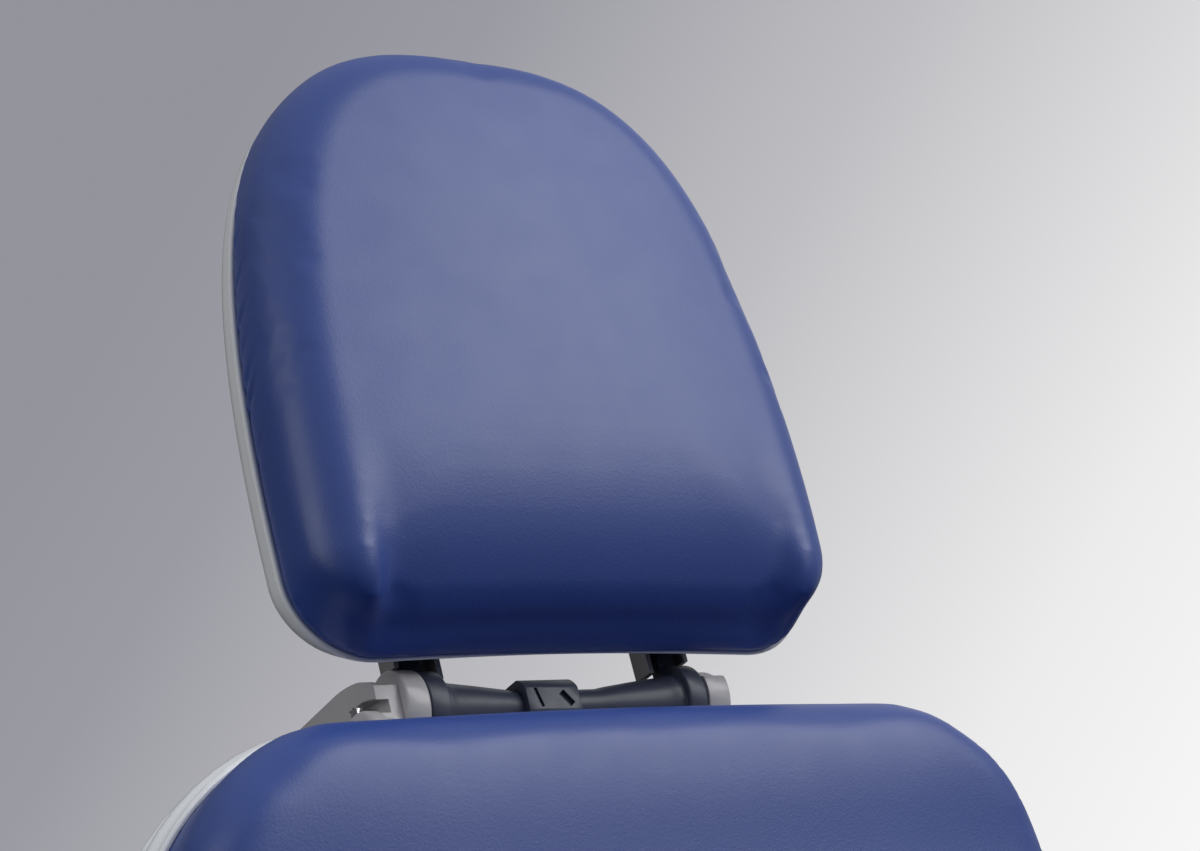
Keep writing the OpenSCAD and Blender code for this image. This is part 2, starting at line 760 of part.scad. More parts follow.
module actuator_tube() {
    difference() {
        union() {
            rod_x(actuator_eye_r, -actuator_eye_half, actuator_eye_half);
            translate([-neck_half, 0, -actuator_eye_r])
                cube([2 * neck_half, actuator_tube_start + cut, 2 * actuator_eye_r]);
            rod_y(actuator_r, actuator_tube_start, actuator_tube_end);
            translate([motor_off, 0, 0]) rod_y(actuator_r, gear_start, actuator_motor_end);
            translate([0, gear_start, -actuator_r]) cube([motor_off, gear_len, 2 * actuator_r]);
        }
        rod_x(actuator_pin_r + pin_clear, -2 * actuator_eye_half, 2 * actuator_eye_half);
        rod_y(actuator_rod_r + pin_clear, actuator_bore_start, actuator_tube_end + cut);
    }
}

module actuator_rod(rear, len) {
    out = lever_t / 2 + fork_gap + cheek_t;
    hole_r = actuator_pin_r + fork_play;
    rod_y(actuator_rod_r, rear, len - bridge_far + cut);
    translate([-out, len - bridge_far, -hole_r]) cube([2 * out, bridge_t, 2 * hole_r]);
    both_sides() slab_x(lever_t / 2 + fork_gap, out) difference() {
        union() {
            translate([len, 0]) circle(hole_r + cheek_rim);
            translate([len - bridge_far, -hole_r]) square([bridge_far, 2 * hole_r]);
        }
        translate([len, 0]) circle(hole_r);
    }
}

module back_actuator() {
    color("dimgray") along_pins(actuator_x, back_rear_pin, back_front_pin) actuator_tube();
}
module back_actuator_rod() {
    color("silver") along_pins(actuator_x, back_rear_pin, back_front_pin)
        actuator_rod(back_rod_start, norm(back_front_pin - back_rear_pin));
}
module leg_actuator() {
    color("dimgray") along_pins(-actuator_x, leg_rear_pin, leg_front_pin) mirror([1, 0, 0]) actuator_tube();
}
module leg_actuator_rod() {
    color("silver") along_pins(-actuator_x, leg_rear_pin, leg_front_pin)
        actuator_rod(leg_rod_start, norm(leg_front_pin - leg_rear_pin));
}

// An actuator's lever: a plate from a cross tube to a pin with a washer outside each cheek
module lever(tube_at, pin_at) {
    d = pin_at - tube_at;
    cheek_out = lever_t / 2 + fork_gap + cheek_t + washer_gap;
    slab_x(-lever_t / 2, lever_t / 2) {
        translate(tube_at) rotate(atan2(d[1], d[0])) translate([0, -lever_half])
            square([norm(d), 2 * lever_half]);
        translate(pin_at) circle(lever_half);
    }
    translate([0, pin_at[0], pin_at[1]]) {
        rod_x(actuator_pin_r, -cheek_out - washer_t, cheek_out + washer_t);
        both_sides() rod_x(washer_r, cheek_out, cheek_out + washer_t);
    }
}

// Frame of the back and leg sections: hollow rails on solid roots with hinge eyes
root_len = 60;
root_eye_low = [-6, -12.6];
root_eye_high = [8, 11.5];
module frame_side(depth, far, root_bend, root_clear) {
    difference() {
        union() {
            slab_x(rail_x, rail_x + rail_w) {
                circle(eye_r);
                polygon([root_eye_low, [root_bend, -depth], [root_len, -depth],
                         [root_len, -board_t], [root_clear, -board_t], root_eye_high]);
            }
            translate([rail_x, root_len, -depth]) difference() {
                cube([rail_w, far - root_len, depth - board_t]);
                translate([rail_wall, cut, rail_wall])
                    cube([rail_w - 2 * rail_wall, far - root_len, depth - board_t - 2 * rail_wall]);
            }
        }
        rod_x(pin_r + pin_clear, rail_x - cut, rail_x + rail_w + cut);
    }
}

lever_tube_r = 12;
back_lever_tube = [30, -31];
rail_short = 36;
back_rail_far = back_start + back_len - rail_short;
back_bends = [40, 30];
cross_t = 20;
cross_w = 24;
cross_low = 110;
cross_mid_gap = 290;
cross_end_gap = 40;
back_crosses = [cross_low, back_rail_far - cross_mid_gap, back_rail_far - cross_end_gap];
panel_start = 90;
post_r = 8;
post_x = 60;
back_pin_local = polar(lever_len, back_lever_angle + back_lean - 90);

module back_frame() {
    depth = board_t + rail_d;
    color("silver") in_back() {
        both_sides() frame_side(depth, back_rail_far, back_bends[0], back_bends[1]);
        translate([0, back_lever_tube[0], back_lever_tube[1]]) rod_x(lever_tube_r, -rail_x, rail_x);
        translate([actuator_x, 0, 0]) lever(back_lever_tube, [back_pin_local[0], back_pin_local[1]]);
        for (v = back_crosses) translate([-rail_x, v, -board_t - cross_t])
            cube([2 * rail_x, cross_w, cross_t]);
        translate([-rail_x, panel_start, -board_t - panel_t])
            cube([2 * rail_x, back_rail_far - panel_start, panel_t]);
        for (v = [back_crosses[1], back_crosses[2]]) for (s = [-1, 1])
            translate([s * post_x, v + cross_w / 2, shell_wall - back_depth])
                cylinder(r = post_r, h = back_depth - shell_wall - board_t);
    }
}

function back_shell_outline() =
    moved(pad_outline(chair_w, back_len - shell_short, back_top_r, corner_r), 0, back_start);

module back_board() {
    color("burlywood") in_back() translate([0, 0, -board_t]) linear_extrude(board_t)
        polygon(inset(back_shell_outline(), tray_in));
}
module back_cushion() {
    o = moved(pad_outline(chair_w, back_len, back_top_r, corner_r, pad_draw), 0, back_start);
    color("slateblue") in_back()
        pad(inset(back_shell_outline(), tray_in), o, pad_t, pad_edge_r, back_start + back_len / 2);
}

// Slots in a shell's near wall for the two rails
module rail_slots(start, depth) {
    for (s = [-1, 1]) translate([s * (rail_x + rail_w / 2) - rail_w / 2 - fit_gap, start - corner_r,
                                 -depth - fit_gap])
        cube([rail_w + 2 * fit_gap, 2 * corner_r, depth - board_t + 2 * fit_gap]);
}

module back_shell() {
    color("whitesmoke") in_back() difference() {
        shell(back_shell_outline(), back_depth);
        rail_slots(back_start, board_t + rail_d);
    }
}

// Headrest slide, on the back shell's flat floor. Heights are from the hub's axis.
housing_top = -80;
housing_len = 320;
bar_end_gap = 50;
bar_len = housing_len - housing_top - bar_end_gap;
housing_half = 132;
housing_d = 34;
housing_wall = 3;
guide_plate_t = 3;
guide_gap = 10;
guide_share = 0.09375;
guide_len = housing_len * guide_share;
crossbar_r = 7;
crossbar_v = crossbar_r + pin_end - bar_len;
low_guide_top = crossbar_v + head_travel + crossbar_r + pin_end + guide_len;
guide_tops = [housing_top - guide_gap, low_guide_top];
guide_side = 5;
arm_plate_out = 111;
knob_z = (guide_tops[0] - guide_len + guide_tops[1]) / 2;
knob_r = 17;
knob_t = 14;
knob_screw_r = 4;
knob_gap = 0.3;
bar_x = arm_plate_out + bar_t / 2;
bar_front = bar_w / 2 - bar_back;

module guide_plate() {
    color("silver") in_hub() translate([-housing_half + housing_wall + fit_gap, housing_top - housing_len
                                        + housing_wall + fit_gap, -back_depth - guide_plate_t])
        cube([2 * (housing_half - housing_wall - fit_gap), housing_len - 2 * (housing_wall + fit_gap),
              guide_plate_t]);
}

module headrest_guides() {
    deep = housing_d - guide_plate_t - housing_wall;
    color("white") in_hub() both_sides() for (top = guide_tops)
        translate([bar_x, top - guide_len, -back_depth - guide_plate_t - deep]) difference() {
            translate([-bar_t / 2 - guide_side, 0, 0]) cube([bar_t + 2 * guide_side, guide_len, deep]);
            translate([-bar_t / 2 - slide_clear, -cut, back_depth + guide_plate_t + deep - bar_back
                       - bar_w / 2 - slide_clear])
                cube([bar_t + 2 * slide_clear, guide_len + 2 * cut, bar_w + 2 * slide_clear]);
        }
}

module guide_housing() {
    color("gainsboro") in_hub() difference() {
        translate([-housing_half, housing_top - housing_len, -back_depth - housing_d])
            cube([2 * housing_half, housing_len, housing_d]);
        translate([housing_wall - housing_half, housing_top - housing_len + housing_wall,
                   housing_wall - back_depth - housing_d])
            cube([2 * (housing_half - housing_wall), housing_len - 2 * housing_wall, housing_d]);
        for (s = [-1, 1]) translate([s * bar_x - bar_t / 2 - fit_gap, housing_top - 2 * housing_wall,
                                     -bar_back - bar_w / 2 - fit_gap])
            cube([bar_t + 2 * fit_gap, 3 * housing_wall, bar_w + 2 * fit_gap]);
        translate([bar_x, knob_z, -back_depth - housing_d - cut])
            cylinder(r = knob_screw_r + pin_clear, h = housing_wall + 2 * cut);
    }
}

module slide_lock_knob() {
    back = -back_depth - housing_d;
    tip = -bar_back - bar_w / 2 - knob_gap;
    color("black") in_hub() translate([bar_x, knob_z, 0]) {
        translate([0, 0, back - knob_gap]) cylinder(r = knob_screw_r, h = tip - back + knob_gap);
        translate([0, 0, back - knob_gap - knob_t]) linear_extrude(knob_t) {
            circle(knob_r - knob_screw_r / 2);
            for (a = [0:60:300]) rotate(a) translate([knob_r - knob_screw_r, 0]) circle(knob_screw_r);
        }
    }
}

// Yoke: an arm each side from the hub back over the shell and down to a slide bar
elbow_r = 24;
arm_leg = 60;
arm_front = 17;
block_back = 60;
boss_low = [-22, 8];
boss_low_r = 15.5;
boss_low_cut = 26;
window = [[8, -17], [6.6, 1], [3.6, 12.8], [-2.2, 25.5], [-11, 28]];
bolt_r = 4.6;
bolt_h = 6;
bolt_shank_r = 2.5;
axle_end = 108;

module arm_profile(front) {
    translate([-arm_half, elbow_r - bar_back - bar_w / 2])
        square([arm_half + arm_top, bar_back + bar_w / 2 - elbow_r]);
    intersection() {
        circle(arm_top);
        translate([-arm_half, -arm_top]) square([arm_half + arm_top, arm_top + front]);
    }
    intersection() {
        translate([arm_top - elbow_r, elbow_r - bar_back - bar_w / 2]) circle(elbow_r);
        translate([arm_top - elbow_r, -bar_back - bar_w / 2]) square(elbow_r);
    }
    translate([-arm_half, -bar_back - bar_w / 2]) square([arm_half + arm_top - elbow_r, elbow_r]);
    translate([-arm_leg, -bar_back - bar_w / 2]) square([arm_leg + arm_top - elbow_r, bar_w]);
}

module yoke_arm_right() {
    color("lightgray") in_hub() difference() {
        union() {
            slab_x(arm_plate_out - arm_t, arm_plate_out) arm_profile(0);
            rod_x(hub_r, boss_x, arm_plate_out);
        }
        rod_x(axle_r, boss_x - cut, axle_end);
    }
}

module yoke_arm_left() {
    out = arm_plate_out + bar_t;
    color("lightgray") in_hub() difference() {
        union() {
            slab_x(-out - arm_t, -out) difference() {
                union() {
                    arm_profile(arm_front);
                    difference() {
                        translate(boss_low) circle(boss_low_r);
                        translate([-boss_low_cut - 2 * boss_low_r, -boss_low_r])
                            square([2 * boss_low_r, 3 * boss_low_r]);
                    }
                }
                polygon(window);
            }
            slab_x(-out, -arm_plate_out) translate([-arm_half, -block_back])
                square([2 * arm_half, block_back + arm_front]);
        }
        rod_x(bolt_shank_r, -out - arm_t - cut, -arm_plate_out + cut);
    }
}

module slide_bars() {
    color("silver") in_hub() both_sides() translate([arm_plate_out, -bar_len, -bar_back - bar_w / 2])
        cube([bar_t, bar_len + arm_half - elbow_r, bar_w]);
}
module slide_crossbar() {
    color("silver") in_hub() translate([0, crossbar_v, -bar_back])
        rod_x(crossbar_r, -arm_plate_out, arm_plate_out);
}
module hub_axle() {
    color("gray") in_hub() difference() {
        rod_x(axle_r, -arm_plate_out, axle_end);
        rod_x(bolt_shank_r, -arm_plate_out - cut, -boss_x);
    }
}
module hub_cap_left() {
    color("gray") in_hub() difference() {
        rod_x(hub_r, -arm_plate_out, -boss_x);
        rod_x(axle_r, -arm_plate_out - cut, cut - boss_x);
    }
}
module axle_bolt() {
    out = arm_plate_out + bar_t + arm_t;
    color("white") in_hub() {
        rod_x(bolt_shank_r, -out, -boss_x);
        slab_x(-out - bolt_h, -out) circle(bolt_r, $fn = 6);
    }
}

// Tilting link: waisted beam on the axle, two channel brackets, clamp block and release lever
beam_stations = [[28, 0], [36, 0.17], [55, 0.48], [73, 0.74], [80, 1]];
lug_top = 60;
lug_t = 9;
bracket_front = 3;
bracket_low = 26.5;
bracket_inner_low = 19;
upper_pin_r = 5;
upper_pin_fwd = -4.5;
block_bevel = 3;
thin_slot = [2, 12, 2];
thin_slot_at = [-10, 1];
fat_slot = [4.5, 10, 3];
fat_slot_at = [9, 0];
slot_turns = [14, 38];
lever_pin_r = 2.5;
lever_pin_back = 20;
release_t = 8;
release_w = 24;
release_back = 75;
release_ear_t = 4.5;

module beam_half() {
    x1 = boss_x - ear_side_clear;
    x0 = x1 - ring_len;
    rotate([0, 90, 0]) rotate_extrude() polygon(concat([[0, 0], [beam_mid_r, 0]],
        [for (s = beam_stations) [mix(beam_mid_r, beam_end_r, s[1]), s[0]]],
        [[beam_end_r, x0], [ring_r, x0], [ring_r, x1], [0, x1]]));
    translate([x0, 0, bracket_wall + bracket_front - bracket_d]) cube([ring_len, lug_top, lug_t]);
}

module hub_beam() {
    color("dimgray") in_hub() difference() {
        both_sides() beam_half();
        rod_x(axle_r + pin_clear, -boss_x, boss_x);
    }
}

module bracket() {
    back = bracket_front - bracket_d;
    difference() {
        union() {
            translate([bracket_x, bracket_low, back])
                cube([bracket_w, upper_pin_rise - bracket_low, bracket_wall]);
            slab_x(bracket_x, bracket_x + bracket_wall) bracket_side(bracket_inner_low);
            slab_x(bracket_x + bracket_w - bracket_wall, bracket_x + bracket_w) bracket_side(bracket_low);
        }
        translate([0, upper_pin_rise, upper_pin_fwd])
            rod_x(upper_pin_r + pin_clear, bracket_x - cut, bracket_x + bracket_w + cut);
    }
}
module bracket_side(low) {
    translate([low, bracket_front - bracket_d]) square([upper_pin_rise - low, bracket_d]);
    translate([upper_pin_rise, upper_pin_fwd]) circle(bracket_front - upper_pin_fwd);
}
module bracket_right() {
    color("silver") in_hub() bracket();
}
module bracket_left() {
    color("silver") in_hub() mirror([1, 0, 0]) bracket();
}

module clamp_block() {
    h = block_half;
    b = block_half - block_bevel;
    color("dimgray") in_hub() translate([-block_x, 0, 0]) difference() {
        union() {
            slab_x(-block_w / 2, block_w / 2) intersection() {
                circle(h + block_bevel / 2);
                square(2 * h, center = true);
            }
            both_sides() slab_x(release_w / 2 + fork_gap, release_w / 2 + fork_gap + release_ear_t) {
                translate([release_t / 2, -lever_pin_back]) circle(release_t / 2 + fit_gap);
                translate([-fit_gap, -lever_pin_back]) square([release_t + 2 * fit_gap, lever_pin_back - b]);
            }
        }
        rod_x(beam_mid_r, -block_w, block_w);
        translate([0, release_t / 2, -lever_pin_back]) rod_x(lever_pin_r + pin_clear, -block_w, block_w);
        translate([thin_slot_at[0], thin_slot_at[1], h - thin_slot[2]]) rotate(slot_turns[0])
            translate([-thin_slot[0] / 2, -thin_slot[1] / 2, 0]) cube(thin_slot + [0, 0, cut]);
        translate([fat_slot_at[0], fat_slot_at[1], h - fat_slot[2]]) rotate(slot_turns[1])
            translate([-fat_slot[0] / 2, -fat_slot[1] / 2, 0]) cube(fat_slot + [0, 0, cut]);
    }
}

module release_lever() {
    color("black") in_hub() translate([-block_x, 0, 0]) {
        slab_x(-release_w / 2, release_w / 2) {
            translate([release_t / 2, -lever_pin_back]) circle(release_t / 2);
            translate([0, -release_back]) square([release_t, release_back - lever_pin_back]);
        }
        translate([0, release_t / 2, -lever_pin_back])
            rod_x(lever_pin_r, -release_w / 2 - fork_gap - release_ear_t,
                  release_w / 2 + fork_gap + release_ear_t);
    }
}

// Headrest: steel plate with lugs on the upper pins, moulded shell, board and cushion
mount_plate_t = 5;
mount_low = 104;
mount_step = 166;
mount_top = 196;
mount_lug_low = 142;
lug_gap = 1;
lug_thick = 5;
lug_eye_r = 9;
head_profile = [[30, 1], [14, 0.88], [4, 0.48], [0, 0.12], [0, 0]];
head_board_t = 10;
head_board_back = 6;
head_board_in = 15.5;
batten_half = 120;
batten_low = 60;
batten_high = 300;
head_ring_starts = [[7, -6], [4.5, 0], [1, 5]];
head_steps = 5;

module mount_lug(x0) {
    slab_x(x0, x0 + lug_thick) {
        translate([upper_pin_rise, upper_pin_fwd]) circle(lug_eye_r);
        translate([mount_lug_low, upper_pin_fwd])
            square([mount_top - mount_lug_low, head_fwd - head_depth - upper_pin_fwd]);
    }
}

module headrest_plate() {
    inner = bracket_x - lug_gap;
    outer = bracket_x + bracket_w + lug_gap;
    front = head_fwd - head_depth;
    color("silver") in_hub() difference() {
        union() {
            translate([-inner, mount_low, front - mount_plate_t])
                cube([2 * inner, mount_top - mount_low, mount_plate_t]);
            translate([-outer - lug_thick, mount_step, front - mount_plate_t])
                cube([2 * (outer + lug_thick), mount_top - mount_step, mount_plate_t]);
            both_sides() {
                mount_lug(inner - lug_thick);
                mount_lug(outer);
            }
        }
        translate([0, upper_pin_rise, upper_pin_fwd]) both_sides()
            rod_x(upper_pin_r, inner - 2 * lug_thick, outer + 2 * lug_thick);
    }
}

module headrest_pins() {
    color("gray") in_hub() translate([0, upper_pin_rise, upper_pin_fwd]) both_sides() {
        rod_x(upper_pin_r, bracket_x - lug_gap - lug_thick, bracket_x + bracket_w + lug_gap + lug_thick);
        rod_x(upper_pin_r + pin_end, bracket_x + bracket_w + lug_gap + lug_thick,
              bracket_x + bracket_w + lug_gap + lug_thick + pin_end);
    }
}

module headrest_shell() {
    color("whitesmoke") in_head()
        tray(head_outline(head_half_w, head_h, head_corner_r),
             [for (q = head_profile) [q[0], -q[1] * head_depth]], head_depth);
}

module headrest_board() {
    o = head_outline(head_half_w, head_h, head_corner_r);
    color("burlywood") in_head() {
        translate([0, 0, -head_board_back - head_board_t]) linear_extrude(head_board_t)
            polygon(inset(o, head_board_in));
        translate([-batten_half, batten_low, shell_wall - head_depth])
            cube([2 * batten_half, batten_high - batten_low,
                  head_depth - shell_wall - head_board_back - head_board_t + cut]);
    }
}

// A headrest ring: the sides and top follow one rounding and the lower edge another
function head_ring(o, side_in, side_h, low_in, low_h) =
    [for (k = [0:len(o) - 1]) let (s = low_shares[k], p = inset_point(o, k, mix(side_in, low_in, s)))
     [p[0], p[1], mix(side_h, low_h, s)]];

// The face is drawn down along its lower edge, less so towards the two sewn corners
head_pull = 36;
pull_from = 150;
pull_to = 14;
pull_mid = 118;
pull_side = 152;
corner_share = 0.2;
curve_share = 3.2;
function eased(t) = let (c = min(max(t, 0), 1)) c * c * (3 - 2 * c);
function pulled(p) =
    let (s = min(max((pull_from - p[1]) / (pull_from - pull_to), 0), 1),
         across = 1 - (1 - corner_share) * eased((abs(p[0]) - pull_mid) / (pull_side - pull_mid)),
         drop = head_pull * across * pow(s, curve_share))
    [p[0], p[1], p[2] > 0 ? p[2] * (1 - drop / (head_t + crown)) : p[2]];

module headrest_cushion() {
    o = head_outline(head_half_w, head_h, head_corner_r, pad_draw / 2);
    top = head_ring(o, head_edge_r, head_t, head_low_lean + head_low_r, head_t);
    flat = [for (p = top) [p[0], p[1]]];
    cy = head_h / 2;
    color("slateblue") in_head()
        loft([for (r = concat(
                  [for (s = head_ring_starts) ring(o, s[0], s[1])],
                  [for (k = [0:head_steps]) let (a = 90 * k / head_steps)
                   head_ring(o, head_edge_r * (1 - cos(a)), head_t - head_edge_r + head_edge_r * sin(a),
                             head_low_lean + head_low_r * (1 - cos(a)),
                             head_t - head_low_r + head_low_r * sin(a))],
                  [for (s = crown_shares) shrunk(flat, cy, s, head_t + crown * (1 - s * s))]))
              [for (p = r) pulled(p)]]);
}

// Leg section, its shell, and the foot extension on two rods
leg_start = 17;
leg_shell_start = 64;
leg_far_r = 90;
leg_rail_deep = 44;
leg_rail_far = 300;
leg_bends = [36, 20];
leg_lever_tube = [95, -28];
leg_crosses = [240, 286];
leg_cross_t = 10;
leg_cross_low = 14;
leg_pin_local = polar(lever_len, -leg_lever_angle - 180 + leg_drop);
rod_x0 = 120;
rod_w = -29;
rod_start = 150;
foot_gap = 5;
foot_w = 420;
foot_top = 12;
foot_plate_t = 4;
foot_corner_r = 22;
foot_edge_r = 18;
lever_slot_side = 2;

module leg_frame() {
    color("silver") in_leg() {
        both_sides() frame_side(leg_rail_deep, leg_rail_far, leg_bends[0], leg_bends[1]);
        difference() {
            for (u = leg_crosses) translate([-rail_x, u, -leg_rail_deep])
                cube([2 * rail_x, leg_cross_t, leg_rail_deep - leg_cross_low]);
            for (s = [-1, 1]) translate([s * rod_x0, 0, rod_w])
                rod_y(rod_r + pin_clear, leg_start, leg_rail_far);
        }
        translate([0, leg_lever_tube[0], leg_lever_tube[1]]) rod_x(lever_tube_r, -rail_x, rail_x);
        translate([actuator_x, 0, 0]) lever(leg_lever_tube, [leg_pin_local[0], leg_pin_local[1]]);
    }
}

function leg_outline(draw = 0) = moved(pad_outline(leg_w, leg_len, leg_far_r, corner_r, draw), 0, leg_start);
function leg_shell_outline() =
    moved(pad_outline(leg_w, leg_start + leg_len - leg_shell_start, leg_far_r, corner_r), 0, leg_shell_start);

// The leg's board, with a pocket in its back for the fork as it moves about its lever pin
fork_pocket_half = lever_t / 2 + fork_gap + cheek_t + fit_gap;
fork_pocket_len = 32;
fork_pocket_deep = board_t / 3;
module leg_board() {
    color("burlywood") in_leg() difference() {
        translate([0, 0, -board_t]) linear_extrude(board_t) polygon(inset(leg_outline(), tray_in));
        translate([actuator_x - fork_pocket_half, leg_start, -board_t - cut])
            cube([2 * fork_pocket_half, fork_pocket_len, fork_pocket_deep + cut]);
    }
}
module leg_cushion() {
    color("slateblue") in_leg()
        pad(inset(leg_outline(), tray_in), leg_outline(pad_draw), pad_t, pad_edge_r, leg_start + leg_len / 2);
}

module leg_shell() {
    color("whitesmoke") in_leg() difference() {
        shell(leg_shell_outline(), leg_depth);
        translate([0, 0, -board_t - pad_clear]) linear_extrude(board_t + rim_h + cut)
            polygon(inset(leg_outline(), shell_wall));
        rail_slots(leg_shell_start, leg_rail_deep);
        translate([actuator_x - lever_t / 2 - lever_slot_side, leg_start, -leg_rail_deep])
            cube([lever_t + 2 * lever_slot_side, 2 * corner_r, leg_rail_deep - leg_cross_low]);
        for (s = [-1, 1]) translate([s * rod_x0, 0, rod_w])
            rod_y(rod_r + fit_gap, leg_crosses[0], leg_start + 2 * leg_len);
    }
}

foot_start = leg_start + leg_len + foot_gap;
module foot_extension() {
    color("silver") in_leg() {
        for (s = [-1, 1]) translate([s * rod_x0, 0, rod_w]) rod_y(rod_r, rod_start, foot_start + cut);
        translate([0, foot_start + foot_plate_t, foot_top - foot_t / 2]) rotate([90, 0, 0])
            linear_extrude(foot_plate_t)
                plate_2d(foot_w - foot_gap, foot_t - foot_gap, foot_corner_r - foot_gap);
    }
}
module foot_pad() {
    o = pad_outline(foot_w, foot_t, foot_corner_r, foot_corner_r);
    color("slateblue") in_leg() translate([0, foot_start + foot_plate_t, foot_top]) rotate([-90, 0, 0])
        pad(inset(o, pad_draw), o, foot_len, foot_edge_r, foot_t / 2);
}

base_plate();
base_cover();
levelling_screws();
column_outer();
column_outer_collar();
lift_motor();
lift_screw();
power_inlet();
power_switch();
column_middle();
column_middle_glides();
column_middle_collar();
lift_tube_middle();
column_inner();
column_inner_glides();
lift_tube_inner();
seat_frame();
seat_pan();
seat_cushion();
seat_cover_left();
seat_cover_right();
back_hinge_pins();
leg_hinge_pins();
actuator_rear_pins();
back_actuator();
back_actuator_rod();
leg_actuator();
leg_actuator_rod();
back_frame();
back_board();
back_cushion();
back_shell();
guide_plate();
headrest_guides();
guide_housing();
slide_lock_knob();
yoke_arm_left();
yoke_arm_right();
slide_bars();
slide_crossbar();
hub_axle();
hub_cap_left();
axle_bolt();
hub_beam();
bracket_left();
bracket_right();
clamp_block();
release_lever();
headrest_plate();
headrest_pins();
headrest_shell();
headrest_board();
headrest_cushion();
leg_frame();
leg_shell();
leg_board();
leg_cushion();
foot_extension();
foot_pad();
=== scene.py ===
# %% [markdown]
# # A power procedure chair
#
# The photograph shows the head of a clinic chair: a navy vinyl headrest in a pale moulded
# shell, the small steel hub that tilts it, and the top of a reclining back section.
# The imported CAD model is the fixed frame. Here it gets its looks: soft upholstery, smooth
# mouldings, rounded metal edges and a finish for every surface.

import json
import math

import bmesh
import bpy
from mathutils import Matrix, Vector


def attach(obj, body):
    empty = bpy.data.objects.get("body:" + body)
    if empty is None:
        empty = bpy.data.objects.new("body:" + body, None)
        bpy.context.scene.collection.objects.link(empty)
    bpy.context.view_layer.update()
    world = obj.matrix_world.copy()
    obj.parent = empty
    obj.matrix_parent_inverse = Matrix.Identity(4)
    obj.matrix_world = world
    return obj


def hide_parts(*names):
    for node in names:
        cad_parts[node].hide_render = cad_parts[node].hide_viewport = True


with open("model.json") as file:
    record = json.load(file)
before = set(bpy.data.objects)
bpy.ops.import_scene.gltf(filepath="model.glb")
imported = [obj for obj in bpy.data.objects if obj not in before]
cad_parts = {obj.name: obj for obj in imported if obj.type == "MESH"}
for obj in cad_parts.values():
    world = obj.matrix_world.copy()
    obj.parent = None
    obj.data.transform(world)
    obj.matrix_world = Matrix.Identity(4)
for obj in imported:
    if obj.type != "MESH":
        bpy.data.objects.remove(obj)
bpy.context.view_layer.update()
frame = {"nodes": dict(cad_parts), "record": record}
body_of = {node: body for body, nodes in frame["record"]["behaviour"]["bodies"].items() for node in nodes}
slot_of = {entry["node"]: entry["material_slot"] for entry in frame["record"]["subparts"]}

# %% [markdown]
# The camera stands in front of the chair's right side, a little below the middle of the
# headrest, with a long lens. It was placed by matching the headrest's outline.

# %% Camera
MM = 0.001
HEAD_BASE = Vector((0, 0.5142, 1.115))
CAMERA_TURN = math.radians(33.5)
CAMERA_PITCH = math.radians(3.8)
CAMERA_AWAY, CAMERA_SIDE, CAMERA_RISE = 1.405, 0.016, 0.0427
SENSOR, LENS = 36, 72
sideways = Vector((math.cos(CAMERA_TURN), -math.sin(CAMERA_TURN), 0))
ahead = Vector((math.sin(CAMERA_TURN), math.cos(CAMERA_TURN), 0))
look = ahead * math.cos(CAMERA_PITCH) + Vector((0, 0, math.sin(CAMERA_PITCH)))

camera_data = bpy.data.cameras.new("camera")
camera_data.sensor_width = SENSOR
camera_data.lens = LENS
camera = bpy.data.objects.new("camera", camera_data)
camera.location = HEAD_BASE - ahead * CAMERA_AWAY + sideways * CAMERA_SIDE + Vector((0, 0, CAMERA_RISE))
camera.rotation_euler = look.to_track_quat("-Z", "Y").to_euler()
bpy.context.collection.objects.link(camera)
bpy.context.scene.camera = camera
bpy.context.scene.view_settings.view_transform = "Standard"
print("camera at", [round(c, 3) for c in camera.location])

# %% [markdown]
# The backdrop in the photograph runs from a middle grey at the upper left to nearly white
# at the lower right. A world that depends on direction gives the same. The camera sees it,
# reflections see a third of it, and everything else is lit by a pale sky that grows
# brighter with height.

# %% World
BACKDROP_ENDS = ((0.295, 0.295, 0.33, 1), (0.93, 0.93, 0.93, 1))
BACKDROP = [(0.155, 0.325, 0.365), (0.45, 0.515, 0.54), (0.61, 0.66, 0.675), (0.8, 0.835, 0.84)]
BACKDROP_SPAN = (-0.2, 0.3)
SKY_COLOR = (0.88, 0.92, 1.0, 1)
SKY_HEIGHTS, SKY_STRENGTHS = (0.1, 0.9), (0.0, 0.66)
GLOSSY_SHARE = 0.35

world = bpy.data.worlds.new("studio")
bpy.context.scene.world = world
world.use_nodes = True
wn = world.node_tree.nodes
wl = world.node_tree.links
wn.clear()


def math_node(operation):
    node = wn.new("ShaderNodeMath")
    node.operation = operation
    return node


w_out = wn.new("ShaderNodeOutputWorld")
w_mix = wn.new("ShaderNodeMixShader")
w_sky = wn.new("ShaderNodeBackground")
w_sky.inputs["Color"].default_value = SKY_COLOR
w_seen = wn.new("ShaderNodeBackground")
w_path = wn.new("ShaderNodeLightPath")
w_clear = math_node("MAXIMUM")
w_all = math_node("MAXIMUM")
w_part = math_node("MULTIPLY")
w_part.inputs[1].default_value = GLOSSY_SHARE
w_coord = wn.new("ShaderNodeTexCoord")

# the backdrop brightens along one slanting direction of the view
w_dot = wn.new("ShaderNodeVectorMath")
w_dot.operation = "DOT_PRODUCT"
camera_up = sideways.cross(look)
w_dot.inputs[1].default_value = sideways * 0.865 - camera_up * 0.5
w_range = wn.new("ShaderNodeMapRange")
w_range.inputs["From Min"].default_value, w_range.inputs["From Max"].default_value = BACKDROP_SPAN
w_ramp = wn.new("ShaderNodeValToRGB")
for stop, color in zip(w_ramp.color_ramp.elements, BACKDROP_ENDS):
    stop.color = color
for place, grey, blue in BACKDROP:
    stop = w_ramp.color_ramp.elements.new(place)
    stop.color = (grey, grey, blue, 1)

